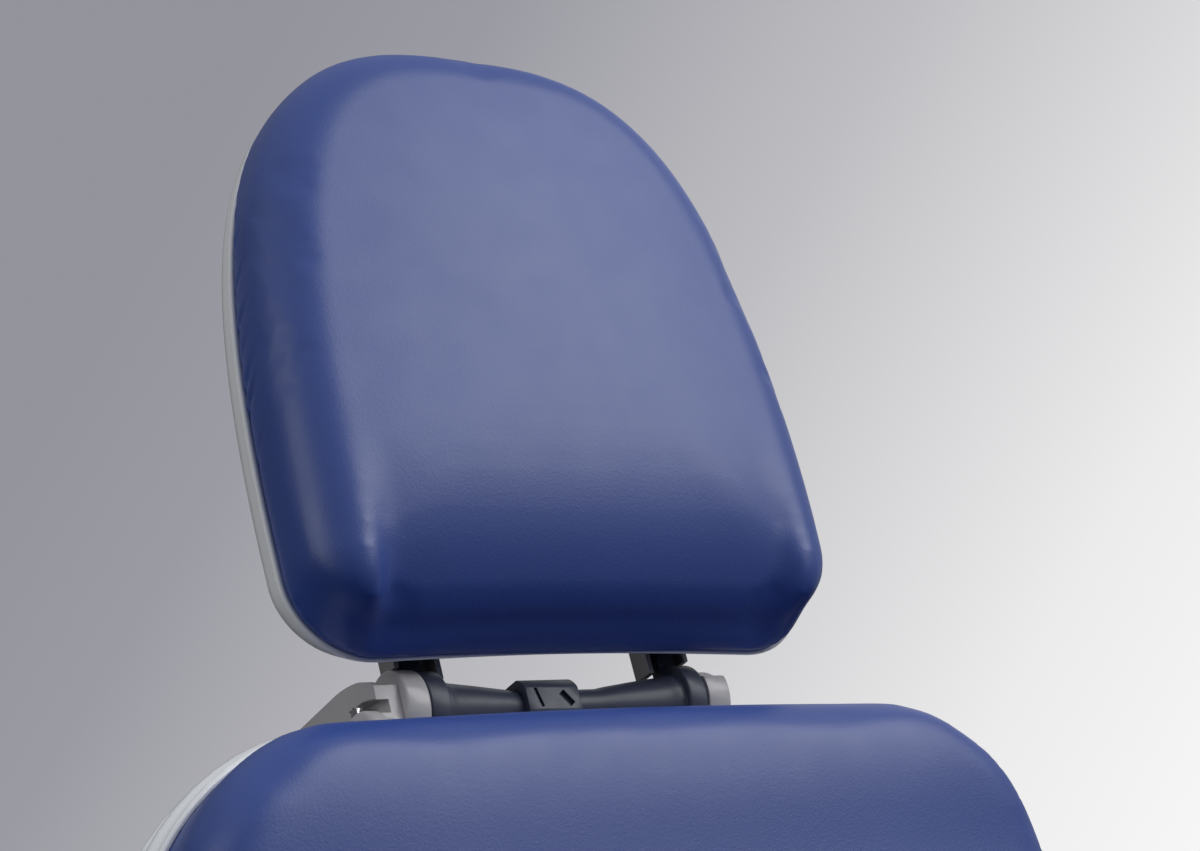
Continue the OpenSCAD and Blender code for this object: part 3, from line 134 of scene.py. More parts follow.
# the sky's light grows with height
w_high = wn.new("ShaderNodeSeparateXYZ")
w_dim = wn.new("ShaderNodeMapRange")
w_dim.inputs["From Min"].default_value, w_dim.inputs["From Max"].default_value = SKY_HEIGHTS
w_dim.inputs["To Min"].default_value, w_dim.inputs["To Max"].default_value = SKY_STRENGTHS

for source, target in (
        (w_coord.outputs["Generated"], w_high.inputs["Vector"]), (w_high.outputs["Z"], w_dim.inputs["Value"]),
        (w_dim.outputs["Result"], w_sky.inputs["Strength"]), (w_coord.outputs["Generated"], w_dot.inputs[0]),
        (w_dot.outputs["Value"], w_range.inputs["Value"]), (w_range.outputs["Result"], w_ramp.inputs["Fac"]),
        (w_ramp.outputs["Color"], w_seen.inputs["Color"]), (w_path.outputs["Is Camera Ray"], w_clear.inputs[0]),
        (w_path.outputs["Is Transmission Ray"], w_clear.inputs[1]), (w_clear.outputs["Value"], w_all.inputs[0]),
        (w_path.outputs["Is Glossy Ray"], w_part.inputs[0]), (w_part.outputs["Value"], w_all.inputs[1]),
        (w_all.outputs["Value"], w_mix.inputs["Fac"]), (w_sky.outputs["Background"], w_mix.inputs[1]),
        (w_seen.outputs["Background"], w_mix.inputs[2]), (w_mix.outputs["Shader"], w_out.inputs["Surface"])):
    wl.new(source, target)
print("world nodes:", len(wn))


# %% [markdown]
# Broad soft lamps stand above and in front of the chair, as in a product studio. The face
# of each cushion leans back and catches them, and the sides and undersides fall dark.

# %% Lamps
def lamp(name, place, target, size, power):
    data = bpy.data.lights.new(name, "AREA")
    data.shape = "RECTANGLE"
    data.size, data.size_y = size
    data.energy = power
    obj = bpy.data.objects.new(name, data)
    obj.location = place
    obj.rotation_euler = (Vector(target) - Vector(place)).to_track_quat("-Z", "Y").to_euler()
    bpy.context.collection.objects.link(obj)


lamp("key", (1.25, -0.75, 3.0), (0, 0.55, 1.25), (2.0, 2.0), 43)
lamp("fill", (-2.6, 0.4, 1.9), (0, 0.5, 1.1), (1.2, 1.8), 15)
lamp("rim", (2.2, 2.4, 2.2), (0, 0.6, 1.1), (1.4, 1.8), 3)


# %% [markdown]
# Finishes. Every finish starts from one recipe: a base colour with slow, faint mottling, a
# roughness that varies with it, and a fine bump. Each one then has its own numbers: the
# vinyl has an embossed grain, the shell a smooth gloss with light scuffs, the steel a
# drawn texture. The patterns sit on Object coordinates, so they stay put on each piece.

# %% A procedural finish
COAT_ROUGHNESS = 0.12
CLOUD_EDGES = (0.3, 0.7)
CLOUD_DETAIL, FINE_DETAIL, GRAIN_DETAIL = 4, 5, 3
FINE_SCALE = 7


def tint(rgb):
    """Turn screen colour into linear colour."""
    return [(c / 12.92 if c <= 0.04045 else ((c + 0.055) / 1.055) ** 2.4) for c in rgb]


def finish(name, rgb, rough, metal=0.0, coat=0.0, shine=0.5, mottle=(8, 0.05), rough_spread=0.08,
           bumps=((900, 0.12, 0.0004),), stretch=(1, 1, 1), cells=None):
    mat = bpy.data.materials.new(name)
    mat.use_nodes = True
    nodes, links = mat.node_tree.nodes, mat.node_tree.links
    shader = nodes["Principled BSDF"]
    shader.inputs["Metallic"].default_value = metal
    shader.inputs["Coat Weight"].default_value = coat
    shader.inputs["Coat Roughness"].default_value = COAT_ROUGHNESS
    shader.inputs["Specular IOR Level"].default_value = shine
    coord = nodes.new("ShaderNodeTexCoord")
    mapping = nodes.new("ShaderNodeMapping")
    mapping.inputs["Scale"].default_value = stretch
    links.new(coord.outputs["Object"], mapping.inputs["Vector"])
    spot = mapping.outputs["Vector"]

    cloud = nodes.new("ShaderNodeTexNoise")
    cloud.inputs["Scale"].default_value = mottle[0]
    cloud.inputs["Detail"].default_value = CLOUD_DETAIL
    links.new(spot, cloud.inputs["Vector"])
    ramp = nodes.new("ShaderNodeValToRGB")
    base = tint(rgb)
    ramp.color_ramp.elements[0].position, ramp.color_ramp.elements[1].position = CLOUD_EDGES
    ramp.color_ramp.elements[0].color = [c * (1 - mottle[1]) for c in base] + [1]
    ramp.color_ramp.elements[1].color = [min(1, c * (1 + mottle[1])) for c in base] + [1]
    links.new(cloud.outputs["Fac"], ramp.inputs["Fac"])
    links.new(ramp.outputs["Color"], shader.inputs["Base Color"])

    gloss = nodes.new("ShaderNodeMapRange")
    gloss.inputs["To Min"].default_value = max(0.02, rough - rough_spread)
    gloss.inputs["To Max"].default_value = min(1, rough + rough_spread)
    fine = nodes.new("ShaderNodeTexNoise")
    fine.inputs["Scale"].default_value = mottle[0] * FINE_SCALE
    fine.inputs["Detail"].default_value = FINE_DETAIL
    links.new(spot, fine.inputs["Vector"])
    links.new(fine.outputs["Fac"], gloss.inputs["Value"])
    links.new(gloss.outputs["Result"], shader.inputs["Roughness"])

    last = None
    for scale, strength, distance in bumps:
        grain = nodes.new("ShaderNodeTexNoise")
        grain.inputs["Scale"].default_value = scale
        grain.inputs["Detail"].default_value = GRAIN_DETAIL
        links.new(spot, grain.inputs["Vector"])
        last = add_bump(nodes, links, grain.outputs["Fac"], strength, distance, last)
    if cells:
        scale, strength, distance = cells
        hide = nodes.new("ShaderNodeTexVoronoi")
        hide.feature = "SMOOTH_F1"
        hide.inputs["Scale"].default_value = scale
        links.new(spot, hide.inputs["Vector"])
        last = add_bump(nodes, links, hide.outputs["Distance"], strength, distance, last)
    links.new(last, shader.inputs["Normal"])
    return mat


def add_bump(nodes, links, height, strength, distance, before):
    bump = nodes.new("ShaderNodeBump")
    bump.inputs["Strength"].default_value = strength
    bump.inputs["Distance"].default_value = distance
    links.new(height, bump.inputs["Height"])
    if before:
        links.new(before, bump.inputs["Normal"])
    return bump.outputs["Normal"]


# %% [markdown]
# One finish for each of the record's material slots. Nodes that keep their CAD mesh take
# theirs here, and each new piece names its own.

# %% The chair's finishes
finishes = {
    "cushion_vinyl": finish("cushion_vinyl", (0.18, 0.283, 0.565), 0.43, shine=0.62, mottle=(5, 0.04),
                            rough_spread=0.05, bumps=((420, 0.10, 0.0006),), cells=(900, 0.16, 0.0004)),
    "shell_plastic": finish("shell_plastic", (0.94, 0.945, 0.945), 0.26, coat=0.35, mottle=(3, 0.02),
                            rough_spread=0.06, bumps=((260, 0.03, 0.0005),)),
    "cover_plastic": finish("cover_plastic", (0.74, 0.75, 0.75), 0.42,
                            mottle=(4, 0.03), bumps=((1400, 0.15, 0.0002),)),
    "column_paint": finish("column_paint", (0.74, 0.75, 0.75), 0.36,
                           mottle=(6, 0.03), bumps=((1100, 0.12, 0.0002),)),
    "plate_paint": finish("plate_paint", (0.20, 0.21, 0.22), 0.5,
                          mottle=(9, 0.10), bumps=((1000, 0.2, 0.0003),)),
    "frame_paint": finish("frame_paint", (0.40, 0.41, 0.42), 0.45,
                          mottle=(9, 0.08), bumps=((1000, 0.15, 0.0003),)),
    "actuator_paint": finish("actuator_paint", (0.10, 0.10, 0.11), 0.42,
                             mottle=(9, 0.12), bumps=((1300, 0.15, 0.0002),)),
    "arm_paint": finish("arm_paint", (0.7, 0.69, 0.69), 0.36, coat=0.2,
                        mottle=(14, 0.05), bumps=((900, 0.08, 0.0002),)),
    # the beam's paint is dark grey; its blue tint is a painted reflection of the navy cushions round it
    "beam_paint": finish("beam_paint", (0.215, 0.235, 0.30), 0.45, coat=0.05,
                         mottle=(16, 0.10), bumps=((900, 0.10, 0.0002),)),
    "bracket_steel": finish("bracket_steel", (0.66, 0.655, 0.65), 0.34, metal=0.65, mottle=(20, 0.08),
                            bumps=((300, 0.12, 0.0002),), stretch=(1, 1, 0.12)),
    "plain_steel": finish("plain_steel", (0.58, 0.58, 0.58), 0.32, metal=1.0,
                          mottle=(25, 0.10), bumps=((500, 0.10, 0.0002),)),
    "bright_steel": finish("bright_steel", (0.80, 0.80, 0.81), 0.10, metal=1.0, mottle=(15, 0.03), rough_spread=0.04,
                           bumps=((60, 0.02, 0.0002),)),
    "glide_plastic": finish("glide_plastic", (0.82, 0.82, 0.79), 0.55, mottle=(10, 0.04)),
    "dark_plastic": finish("dark_plastic", (0.07, 0.07, 0.075), 0.48,
                           mottle=(12, 0.15), bumps=((1200, 0.2, 0.0002),)),
    "switch_plastic": finish("switch_plastic", (0.50, 0.09, 0.07), 0.3, coat=0.2, mottle=(30, 0.05)),
    "board_wood": finish("board_wood", (0.25, 0.2, 0.16), 0.6, mottle=(30, 0.22), stretch=(1, 0.12, 1),
                         bumps=((200, 0.2, 0.0005),)),
}
for node, obj in frame["nodes"].items():
    obj.data.materials.clear()
    obj.data.materials.append(finishes[slot_of[node]])
print("finishes:", len(finishes))

# %% [markdown]
# The back, the headrest and the leg section each have their own frame in the CAD: across
# the chair, along the section, and out of its padded face. These matrices turn millimetres
# there into the model's metres.

# %% Local frames
BACK_LEAN = math.radians(25.5)
LEG_DROP = math.radians(65)
BACK_HINGE = Vector((0, 0.235, 0.46))
LEG_HINGE = Vector((0, -0.259, 0.46))
SEAT_TOP = Vector((0, 0, 0.46))
HUB_ALONG = 693
HEAD_FROM_HUB = (0, 18.4, 30)
FOOT_FROM_LEG = (0, 356, 12)


def section_frame(origin, across, along):
    axes = Matrix((across, along, across.cross(along))).transposed().to_4x4()
    return Matrix.Translation(origin) @ axes @ Matrix.Scale(MM, 4)


up_back = Vector((0, math.sin(BACK_LEAN), math.cos(BACK_LEAN)))
IN_BACK = section_frame(BACK_HINGE, Vector((1, 0, 0)), up_back)
IN_HUB = IN_BACK @ Matrix.Translation((0, HUB_ALONG, 0))
IN_HEAD = IN_HUB @ Matrix.Translation(HEAD_FROM_HUB)
IN_LEG = section_frame(LEG_HINGE, Vector((-1, 0, 0)),
                       Vector((0, -math.cos(LEG_DROP), -math.sin(LEG_DROP))))
IN_SEAT = section_frame(SEAT_TOP, Vector((1, 0, 0)), Vector((0, 1, 0)))
IN_FOOT = IN_LEG @ Matrix.Translation(FOOT_FROM_LEG) @ Matrix.Rotation(-math.pi / 2, 4, "X")
print("headrest starts at", [round(c, 3) for c in IN_HEAD.translation])


# %% [markdown]
# Outlines. All the cushions and shells share two outlines: a rectangle with round corners
# whose sides may pull in a little, and the headrest's dome.

# %% Outlines
CORNER_STEPS = 14
SIDE_STEPS = 24
FLANK_STEPS = 44


def arc(cx, cy, r, start):
    return [(cx + r * math.cos(math.radians(start + 90 * k / CORNER_STEPS)),
             cy + r * math.sin(math.radians(start + 90 * k / CORNER_STEPS))) for k in range(CORNER_STEPS + 1)]


def edge(a, b, draw, steps=SIDE_STEPS):
    dx, dy = b[0] - a[0], b[1] - a[1]
    length = math.hypot(dx, dy)
    points = []
    for k in range(1, steps + 1):
        s = k / (steps + 1)
        pull = draw * math.sin(math.pi * s)
        points.append((a[0] + dx * s - dy / length * pull, a[1] + dy * s + dx / length * pull))
    return points


def pad_outline(w, l, r_far, r_near, draw=0.0, start=0.0):
    corners = [arc(w / 2 - r_far, l - r_far, r_far, 0), arc(r_far - w / 2, l - r_far, r_far, 90),
               arc(r_near - w / 2, r_near, r_near, 180), arc(w / 2 - r_near, r_near, r_near, 270)]
    points = []
    for k, c in enumerate(corners):
        points += c + edge(c[-1], corners[(k + 1) % 4][0], draw)
    return [(x, y + start) for x, y in points]


def tapered(outline, share, base, top):
    """Draw an outline in towards its far end."""
    return [(x * (1 - share * max(0, (y - base) / (top - base)) ** 2), y) for x, y in outline]


def bezier(p, s):
    return tuple((1 - s) ** 3 * p[0][i] + 3 * (1 - s) ** 2 * s * p[1][i] + 3 * (1 - s) * s * s * p[2][i]
                 + s ** 3 * p[3][i] for i in (0, 1))


HEAD_W, HEAD_H, HEAD_R = 180, 404, 51
HEAD_SWELL = 14.5


def head_outline(draw=0.0):
    w, h, r = HEAD_W, HEAD_H, HEAD_R
    curve = [(w, r), (w + HEAD_SWELL, r + 0.98 * (h - r)), (0.5 * w, h), (0, h)]
    flank = [bezier(curve, k / (FLANK_STEPS + 1)) for k in range(1, FLANK_STEPS + 1)]
    right, left = arc(w - r, r, r, 270), arc(r - w, r, r, 180)
    return (right + flank + [(0, h)] + [(-x, y) for x, y in reversed(flank)] + left
            + edge(left[-1], right[0], draw))


# 1 along the lower edge of the headrest's outline, 0 from its corners upwards
LOW_SHARE = ([1 - k / CORNER_STEPS for k in range(CORNER_STEPS + 1)] + [0] * (2 * FLANK_STEPS + 1)
             + [k / CORNER_STEPS for k in range(CORNER_STEPS + 1)] + [1] * SIDE_STEPS)


def inset_ring(outline, d, h):
    n = len(outline)
    ring = []
    for k, (x, y) in enumerate(outline):
        dist = d[k] if isinstance(d, list) else d
        height = h[k] if isinstance(h, list) else h
        ax, ay = outline[k - 1]
        bx, by = outline[(k + 1) % n]
        length = math.hypot(bx - ax, by - ay)
        ring.append(Vector((x - (by - ay) / length * dist, y + (bx - ax) / length * dist, height)))
    return ring


print("headrest outline points:", len(head_outline()), len(LOW_SHARE))


# %% [markdown]
# A skin over rings: one loop of edges is extruded from ring to ring. It makes every shell
# and the starting form of every cushion.

# %% Skin over rings
def skin(rings, loop=False):
    bm = bmesh.new()
    verts = [bm.verts.new(p) for p in rings[0]]
    edges = [bm.edges.new((verts[k - 1], verts[k])) for k in range(len(verts))]
    first = edges
    if not loop:
        bm.faces.new(verts)
    for ring in rings[1:]:
        grown = bmesh.ops.extrude_edge_only(bm, edges=edges)["geom"]
        fresh = {g for g in grown if isinstance(g, bmesh.types.BMVert)}
        verts = [next(e.other_vert(v) for e in v.link_edges if e.other_vert(v) in fresh) for v in verts]
        for v, p in zip(verts, ring):
            v.co = p
        edges = [g for g in grown if isinstance(g, bmesh.types.BMEdge) and all(v in fresh for v in g.verts)]
    if loop:
        bmesh.ops.bridge_loops(bm, edges=edges + first)
    else:
        bm.faces.new(verts)
    bmesh.ops.recalc_face_normals(bm, faces=bm.faces)
    return bm


def piece_from(bm, name, slot, place=None, smooth=True):
    if place is not None:
        bm.transform(place)
    mesh = bpy.data.meshes.new(name)
    bm.to_mesh(mesh)
    bm.free()
    if smooth:
        mesh.shade_smooth()
    obj = bpy.data.objects.new(name, mesh)
    bpy.context.collection.objects.link(obj)
    obj.data.materials.append(finishes[slot])
    return obj


# %% [markdown]
# The shells are vacuum formed trays. The rim has two soft ridges round it, the wall curves
# in to a flat floor, and the wall is a few millimetres thick.

# %% Shell profiles
SHELL_IN = 44
WALL = 4
RIM = 18
RIDGE = 4
BOARD_T = 12
TRAY_IN = 4.6
HEAD_DRAW = 3


def smooth_path(points, steps):
    path = []
    n = len(points)
    for k in range(n - 1):
        p0, p1, p2, p3 = (points[max(k - 1, 0)], points[k], points[k + 1], points[min(k + 2, n - 1)])
        for j in range(steps):
            t = j / steps
            path.append(tuple(0.5 * (2 * p1[i] + (p2[i] - p0[i]) * t
                                     + (2 * p0[i] - 5 * p1[i] + 4 * p2[i] - p3[i]) * t * t
                                     + (3 * p1[i] - p0[i] - 3 * p2[i] + p3[i]) * t ** 3) for i in (0, 1)))
    return path + [points[-1]]


def shell_profile(depth):
    low = -0.3 * depth
    turn = [(SHELL_IN, -depth), (0.6 * SHELL_IN, -0.89 * depth), (0.27 * SHELL_IN, -0.7 * depth),
            (0.09 * SHELL_IN, -0.47 * depth), (0, low)]
    ridges = [(-RIDGE * s, low + (RIM - low) * h) for s, h in ((1, 0.2), (0, 0.42), (1, 0.64), (0, 0.86), (0, 1))]
    return smooth_path(turn + ridges, 4)


def tray_rings(outline, profile):
    outside = [inset_ring(outline, d, h) for d, h in profile]
    deep = profile[0][0]
    inside = [inset_ring(outline, max(d, 0) + WALL * (1 - max(d, 0) / (deep + 8)), h + WALL * max(d, 0) / deep)
              for d, h in reversed(profile)]
    return outside + inside


def tray(name, outline, profile, place, body, *nodes):
    obj = piece_from(skin(tray_rings(outline, profile)), name, "shell_plastic", place)
    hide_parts(*nodes)
    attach(obj, body)
    return obj


# The back's outline follows the photograph. It stands up to 20 mm above the solid's at its
# corners, so the hub's beam, cap and arms cut into the shell, the board and the cushion.
CHAIR_W, BACK_LEN, BACK_START, BACK_DEPTH = 608, 608, 72, 72
DIP_HALF, DIP_DEEP, DIP_FROM = 170, 14, 600


def dipped(x, y):
    """Lower the back's top edge behind the hub."""
    if y > DIP_FROM and abs(x) < DIP_HALF:
        return y - DIP_DEEP * math.cos(math.pi * x / (2 * DIP_HALF)) ** 2
    return y


back_line = [(x, dipped(x, y)) for x, y in tapered(pad_outline(CHAIR_W, BACK_LEN, 140, 60, start=BACK_START),
                                                   0.07, 350, 680)]
back_shell = tray("back_shell_smooth", back_line, shell_profile(BACK_DEPTH), IN_BACK, "back", "back_shell")
back_board = piece_from(skin([inset_ring(back_line, TRAY_IN, h) for h in (-BOARD_T, 0)]), "back_board_cut",
                        "board_wood", IN_BACK, smooth=False)
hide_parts("back_board")
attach(back_board, "back")

# the headrest's shell has a steeper wall at its sides than along its lower edge
SIDE_WALL = [(30, -25), (15, -24), (4, -18), (0.4, -11), (0, -5), (0, 0)]
LOW_WALL = [(30, -25), (17, -22), (9, -14), (4.5, -7), (1, -2.5), (0, 0)]
side_rings, low_rings = [tray_rings(head_outline(HEAD_DRAW), smooth_path(wall, 4)) for wall in (SIDE_WALL, LOW_WALL)]
head_shell = piece_from(skin([[a.lerp(b, share) for a, b, share in zip(side, low, LOW_SHARE)]
                              for side, low in zip(side_rings, low_rings)]),
                        "headrest_shell_smooth", "shell_plastic", IN_HEAD)
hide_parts("headrest_shell")
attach(head_shell, "headrest")
print("shell faces:", len(back_shell.data.polygons), len(head_shell.data.polygons))

# %% [markdown]
# The leg shell is narrower and starts behind the board's near end, so its near wall stops
# under the board. The two seat covers are the same moulding along each side of the seat.

# %% Leg shell and seat covers
LEG_W, LEG_LEN, LEG_START, LEG_DEPTH = 560, 330, 17, 50
LEG_SHELL_LEN, LEG_SHELL_START = 283, 64
SEAT_LEN, SEAT_START, SEAT_DEPTH = 460, -242, 65
BOARD_CUT = (-12.5, 30)
COVER_FROM = 0.234

leg_bm = skin(tray_rings(pad_outline(LEG_W, LEG_SHELL_LEN, 90, 60, start=LEG_SHELL_START), shell_profile(LEG_DEPTH)))
leg_keep = piece_from(leg_bm, "leg_shell_smooth", "shell_plastic", IN_LEG)


def cutter(rings, place):
    bm = skin(rings)
    bm.transform(place)
    mesh = bpy.data.meshes.new("cutter")
    bm.to_mesh(mesh)
    bm.free()
    obj = bpy.data.objects.new("cutter", mesh)
    bpy.context.collection.objects.link(obj)
    return obj


def cut_away(obj, tool):
    mod = obj.modifiers.new("cut", "BOOLEAN")
    mod.operation = "DIFFERENCE"
    mod.object = tool
    mod.solver = "EXACT"
    bake(obj)
    bpy.data.objects.remove(tool)


def bake(obj):
    deps = bpy.context.evaluated_depsgraph_get()
    mesh = bpy.data.meshes.new_from_object(obj.evaluated_get(deps))
    obj.modifiers.clear()
    obj.data = mesh


leg_tray = pad_outline(LEG_W, LEG_LEN, 90, 60, start=LEG_START)
cut_away(leg_keep, cutter([inset_ring(leg_tray, WALL, h) for h in BOARD_CUT], IN_LEG))
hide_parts("leg_shell")
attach(leg_keep, "leg")

seat_line = pad_outline(CHAIR_W, SEAT_LEN, 60, 60, start=SEAT_START)
cover_profile = [p for p in shell_profile(SEAT_DEPTH) if p[0] <= 0.6 * SHELL_IN]


def seat_cover(side, node):
    outside = [inset_ring(seat_line, d, h) for d, h in cover_profile]
    inside = [inset_ring(seat_line, max(d, 0) + WALL, h) for d, h in reversed(cover_profile)]
    obj = piece_from(skin(outside + inside, loop=True), node + "_smooth", "shell_plastic", IN_SEAT)
    bm = bmesh.new()
    bm.from_mesh(obj.data)
    cut = bmesh.ops.bisect_plane(bm, geom=bm.verts[:] + bm.edges[:] + bm.faces[:],
                                 plane_co=(side * COVER_FROM, 0, 0), plane_no=(-side, 0, 0), clear_outer=True)
    bmesh.ops.holes_fill(bm, edges=[g for g in cut["geom_cut"] if isinstance(g, bmesh.types.BMEdge)])
    bmesh.ops.recalc_face_normals(bm, faces=bm.faces)
    bm.to_mesh(obj.data)
    bm.free()
    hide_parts(node)
    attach(obj, "seat")
    return obj


covers = [seat_cover(-1, "seat_cover_left"), seat_cover(1, "seat_cover_right")]
print("leg shell faces:", len(leg_keep.data.polygons), "seat cover faces:", [len(o.data.polygons) for o in covers])


# %% [markdown]
# Cushions. Each one is foam under a sewn vinyl cover, so it starts as a plain closed form
# inside its real size, is remeshed to an even grid, and is then blown up a little by a
# cloth simulation. A cap keeps every point within a few millimetres of where it began,
# and a little smoothing takes out the grid's traces.

# %% Cushion forms
PAD_T = 77
CROWN = 6
CROWN_SHARES = [1 - 0.05 * k for k in range(1, 13)] + [0.3, 0.2, 0.1]
EDGE_STEPS = 8


def eased(t):
    t = min(max(t, 0), 1)
    return t * t * (3 - 2 * t)


def shrink(ring, middle, share, height):
    return [Vector((p.x * share, middle + (p.y - middle) * share, height)) for p in ring]


def cushion_rings(tray_line, outline, t, edge_r, middle):
    """Seat the cushion in its tray, let it cover the rim, roll its edge over and crown it."""
    rings = [inset_ring(tray_line, 4.5, 0.5), inset_ring(tray_line, 4.3, RIM - 2),
             inset_ring(tray_line, 2.2, RIM + 1.2), inset_ring(outline, 3, RIM + 4),
             inset_ring(outline, 0.8, RIM + 12)]
    for k in range(EDGE_STEPS + 1):
        a = math.pi / 2 * k / EDGE_STEPS
        rings.append(inset_ring(outline, edge_r * (1 - math.cos(a)), t - edge_r + edge_r * math.sin(a)))
    top = rings[-1]
    return rings + [shrink(top, middle, s, t + CROWN * (1 - s * s)) for s in CROWN_SHARES]


def remeshed(obj, voxel):
    mod = obj.modifiers.new("remesh", "REMESH")
    mod.mode = "VOXEL"
    mod.voxel_size = voxel
    bake(obj)
    obj.data.shade_smooth()


PRESSURE, BENDING, FRAMES = 4.0, 6, 20
MOST_INWARD, SLIDE_SHARE = -0.0004, 0.04


def puff(obj, cap):
    """Blow the cushion up as cloth: it may fill out by up to cap, and hardly shrinks or slides."""
    scene = bpy.context.scene
    start = [(v.co.copy(), v.normal.copy()) for v in obj.data.vertices]
    mod = obj.modifiers.new("cloth", "CLOTH")
    mod.settings.use_pressure = True
    mod.settings.uniform_pressure_force = PRESSURE
    mod.settings.effector_weights.gravity = 0
    mod.settings.quality = 4
    mod.settings.bending_stiffness = BENDING
    mod.collision_settings.use_collision = False
    mod.point_cache.frame_start, mod.point_cache.frame_end = 1, FRAMES
    for f in range(1, FRAMES + 1):
        scene.frame_set(f)
    bake(obj)
    scene.frame_set(1)
    for v, (place, normal) in zip(obj.data.vertices, start):
        move = v.co - place
        out = move.dot(normal)
        v.co = place + normal * min(max(out, MOST_INWARD), cap) + (move - normal * out) * SLIDE_SHARE
    obj.data.update()


def relax(obj, times):
    bm = bmesh.new()
    bm.from_mesh(obj.data)
    for _ in range(times):
        bmesh.ops.smooth_vert(bm, verts=bm.verts, factor=0.5, use_axis_x=True, use_axis_y=True, use_axis_z=True)
    bm.to_mesh(obj.data)
    bm.free()


def cushion(name, rings, place, body, node, cap=0.003, voxel=0.006, smoothing=6):
    obj = piece_from(skin(rings), name, "cushion_vinyl", place)
    remeshed(obj, voxel)
    puff(obj, cap)
    relax(obj, smoothing)
    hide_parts(node)
    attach(obj, body)
    return obj


# the back's cushion draws in towards its top and bulges along its top edge
ROLL_FROM = 5
BULGE, BULGE_FROM, BULGE_OVER = 11, 538, 92
back_top = tapered(pad_outline(602, 592, 90, 58, -3, start=73), 0.125, 350, 665)
back_rings = cushion_rings(back_line, back_top, PAD_T, 28, 369)
for ring in back_rings[ROLL_FROM:]:
    for p in ring:
        p.z += BULGE * eased((p.y - BULGE_FROM) / BULGE_OVER) * min(1, (p.z - 24) / 53)
back_pad = cushion("back_pad", back_rings, IN_BACK, "back", "back_cushion")
seat_top = pad_outline(602, 454, 58, 58, 4, start=-239)
seat_pad = cushion("seat_pad", cushion_rings(seat_line, seat_top, PAD_T, 30, -12),
                   IN_SEAT, "seat", "seat_cushion")
leg_top = pad_outline(554, 324, 87, 57, 4, start=20)
leg_pad = cushion("leg_pad", cushion_rings(leg_tray, leg_top, PAD_T, 30, 182),
                  IN_LEG, "leg", "leg_cushion")
print("cushion faces:", len(back_pad.data.polygons), len(seat_pad.data.polygons), len(leg_pad.data.polygons))

# %% [markdown]
# The foot pad is a small roll on the sliding extension, made the same way.

# %% Foot pad
FOOT_W, FOOT_DEEP, FOOT_T, FOOT_ROLL, FOOT_CROWN = 418, 54, 46, 18, 5
foot_line = pad_outline(FOOT_W, FOOT_DEEP, 21, 21, start=1)
foot_rings = [inset_ring(foot_line, 3, 0.4), inset_ring(foot_line, 1, 8), inset_ring(foot_line, 0, 16)]
for k in range(EDGE_STEPS + 1):
    a = math.pi / 2 * k / EDGE_STEPS
    foot_rings.append(inset_ring(foot_line, FOOT_ROLL * (1 - math.cos(a)),
                                 FOOT_T - FOOT_ROLL + FOOT_ROLL * math.sin(a)))
foot_rings += [shrink(foot_rings[-1], 28, s, FOOT_T + FOOT_CROWN * (1 - s * s)) for s in (0.7, 0.4, 0.1)]
foot_pad = cushion("foot_pad_soft", foot_rings, IN_FOOT, "foot", "foot_pad", voxel=0.005)
print("foot pad faces:", len(foot_pad.data.polygons))

# %% [markdown]
# The headrest cushion is what the photograph is about. Its face is broad and taut, its
# sides roll over a wide radius, and its lower edge turns on a tighter one. The cover is
# gathered where it goes into the shell, and the two lower corners are sewn.

# %% Headrest cushion
HEAD_T = 60
EDGE_R = 38
LOW_R = 16
LOW_LEAN = 14
PULL, PULL_FROM, PULL_OVER, PULL_POWER = 36, 150, 136, 3.2
CORNER_X, CORNER_OVER, CORNER_KEEPS = 130, 22, 0.8
HEAD_CROWN = 8
ROLL_STEPS = EDGE_STEPS + 2


def pulled(ring):
    """Draw the face down along its lower edge, less so towards the two sewn corners."""
    for p in ring:
        low = min(max((PULL_FROM - p.y) / PULL_OVER, 0), 1) ** PULL_POWER
        drop = PULL * low * (1 - CORNER_KEEPS * eased((abs(p.x) - CORNER_X) / CORNER_OVER))
        if p.z > 0:
            p.z *= 1 - drop / (HEAD_T + CROWN)
    return ring


def head_rings():
    line = head_outline(HEAD_DRAW)
    bulge = [3 * eased((y - 235) / 60) * (1 - eased((y - 320) / 70)) for _, y in line]
    rings = [inset_ring(line, 7, -5.6), inset_ring(line, 4.3, -0.6),
             inset_ring(line, [2.0 - 2.4 * share for share in LOW_SHARE], 1.2),
             inset_ring(line, [1.4 - 2.8 * share - b for share, b in zip(LOW_SHARE, bulge)], 5)]
    for k in range(ROLL_STEPS + 1):
        a = math.pi / 2 * k / ROLL_STEPS
        side_in, side_h = 0.8 + EDGE_R * (1 - math.cos(a)), HEAD_T - EDGE_R + EDGE_R * math.sin(a)
        low_in, low_h = LOW_LEAN + LOW_R * (1 - math.cos(a)), HEAD_T - LOW_R + LOW_R * math.sin(a)
        rings.append(inset_ring(line, [side_in + (low_in - side_in) * share - b * (1 - k / ROLL_STEPS)
                                       for share, b in zip(LOW_SHARE, bulge)],
                                [side_h + (low_h - side_h) * share for share in LOW_SHARE]))
    top = rings[-1]
    middle = HEAD_H / 2
    shares = [1 - 0.045 * k for k in range(1, 9)] + [0.57, 0.5, 0.42, 0.33, 0.22, 0.1]
    rings += [shrink(top, middle, share, HEAD_T + HEAD_CROWN * (1 - share ** 2)) for share in shares]
    return [pulled(ring) for ring in rings]


head_pad = cushion("headrest_pad", head_rings(), IN_HEAD, "headrest", "headrest_cushion",
                   cap=0.0006, voxel=0.0044, smoothing=3)
print("headrest pad faces:", len(head_pad.data.polygons))

# %% [markdown]
# The cover is drawn round into the shell, so small slanting folds run up from the rim. Each
# fold is a groove with a soft ridge beside it, fading out within three centimetres.

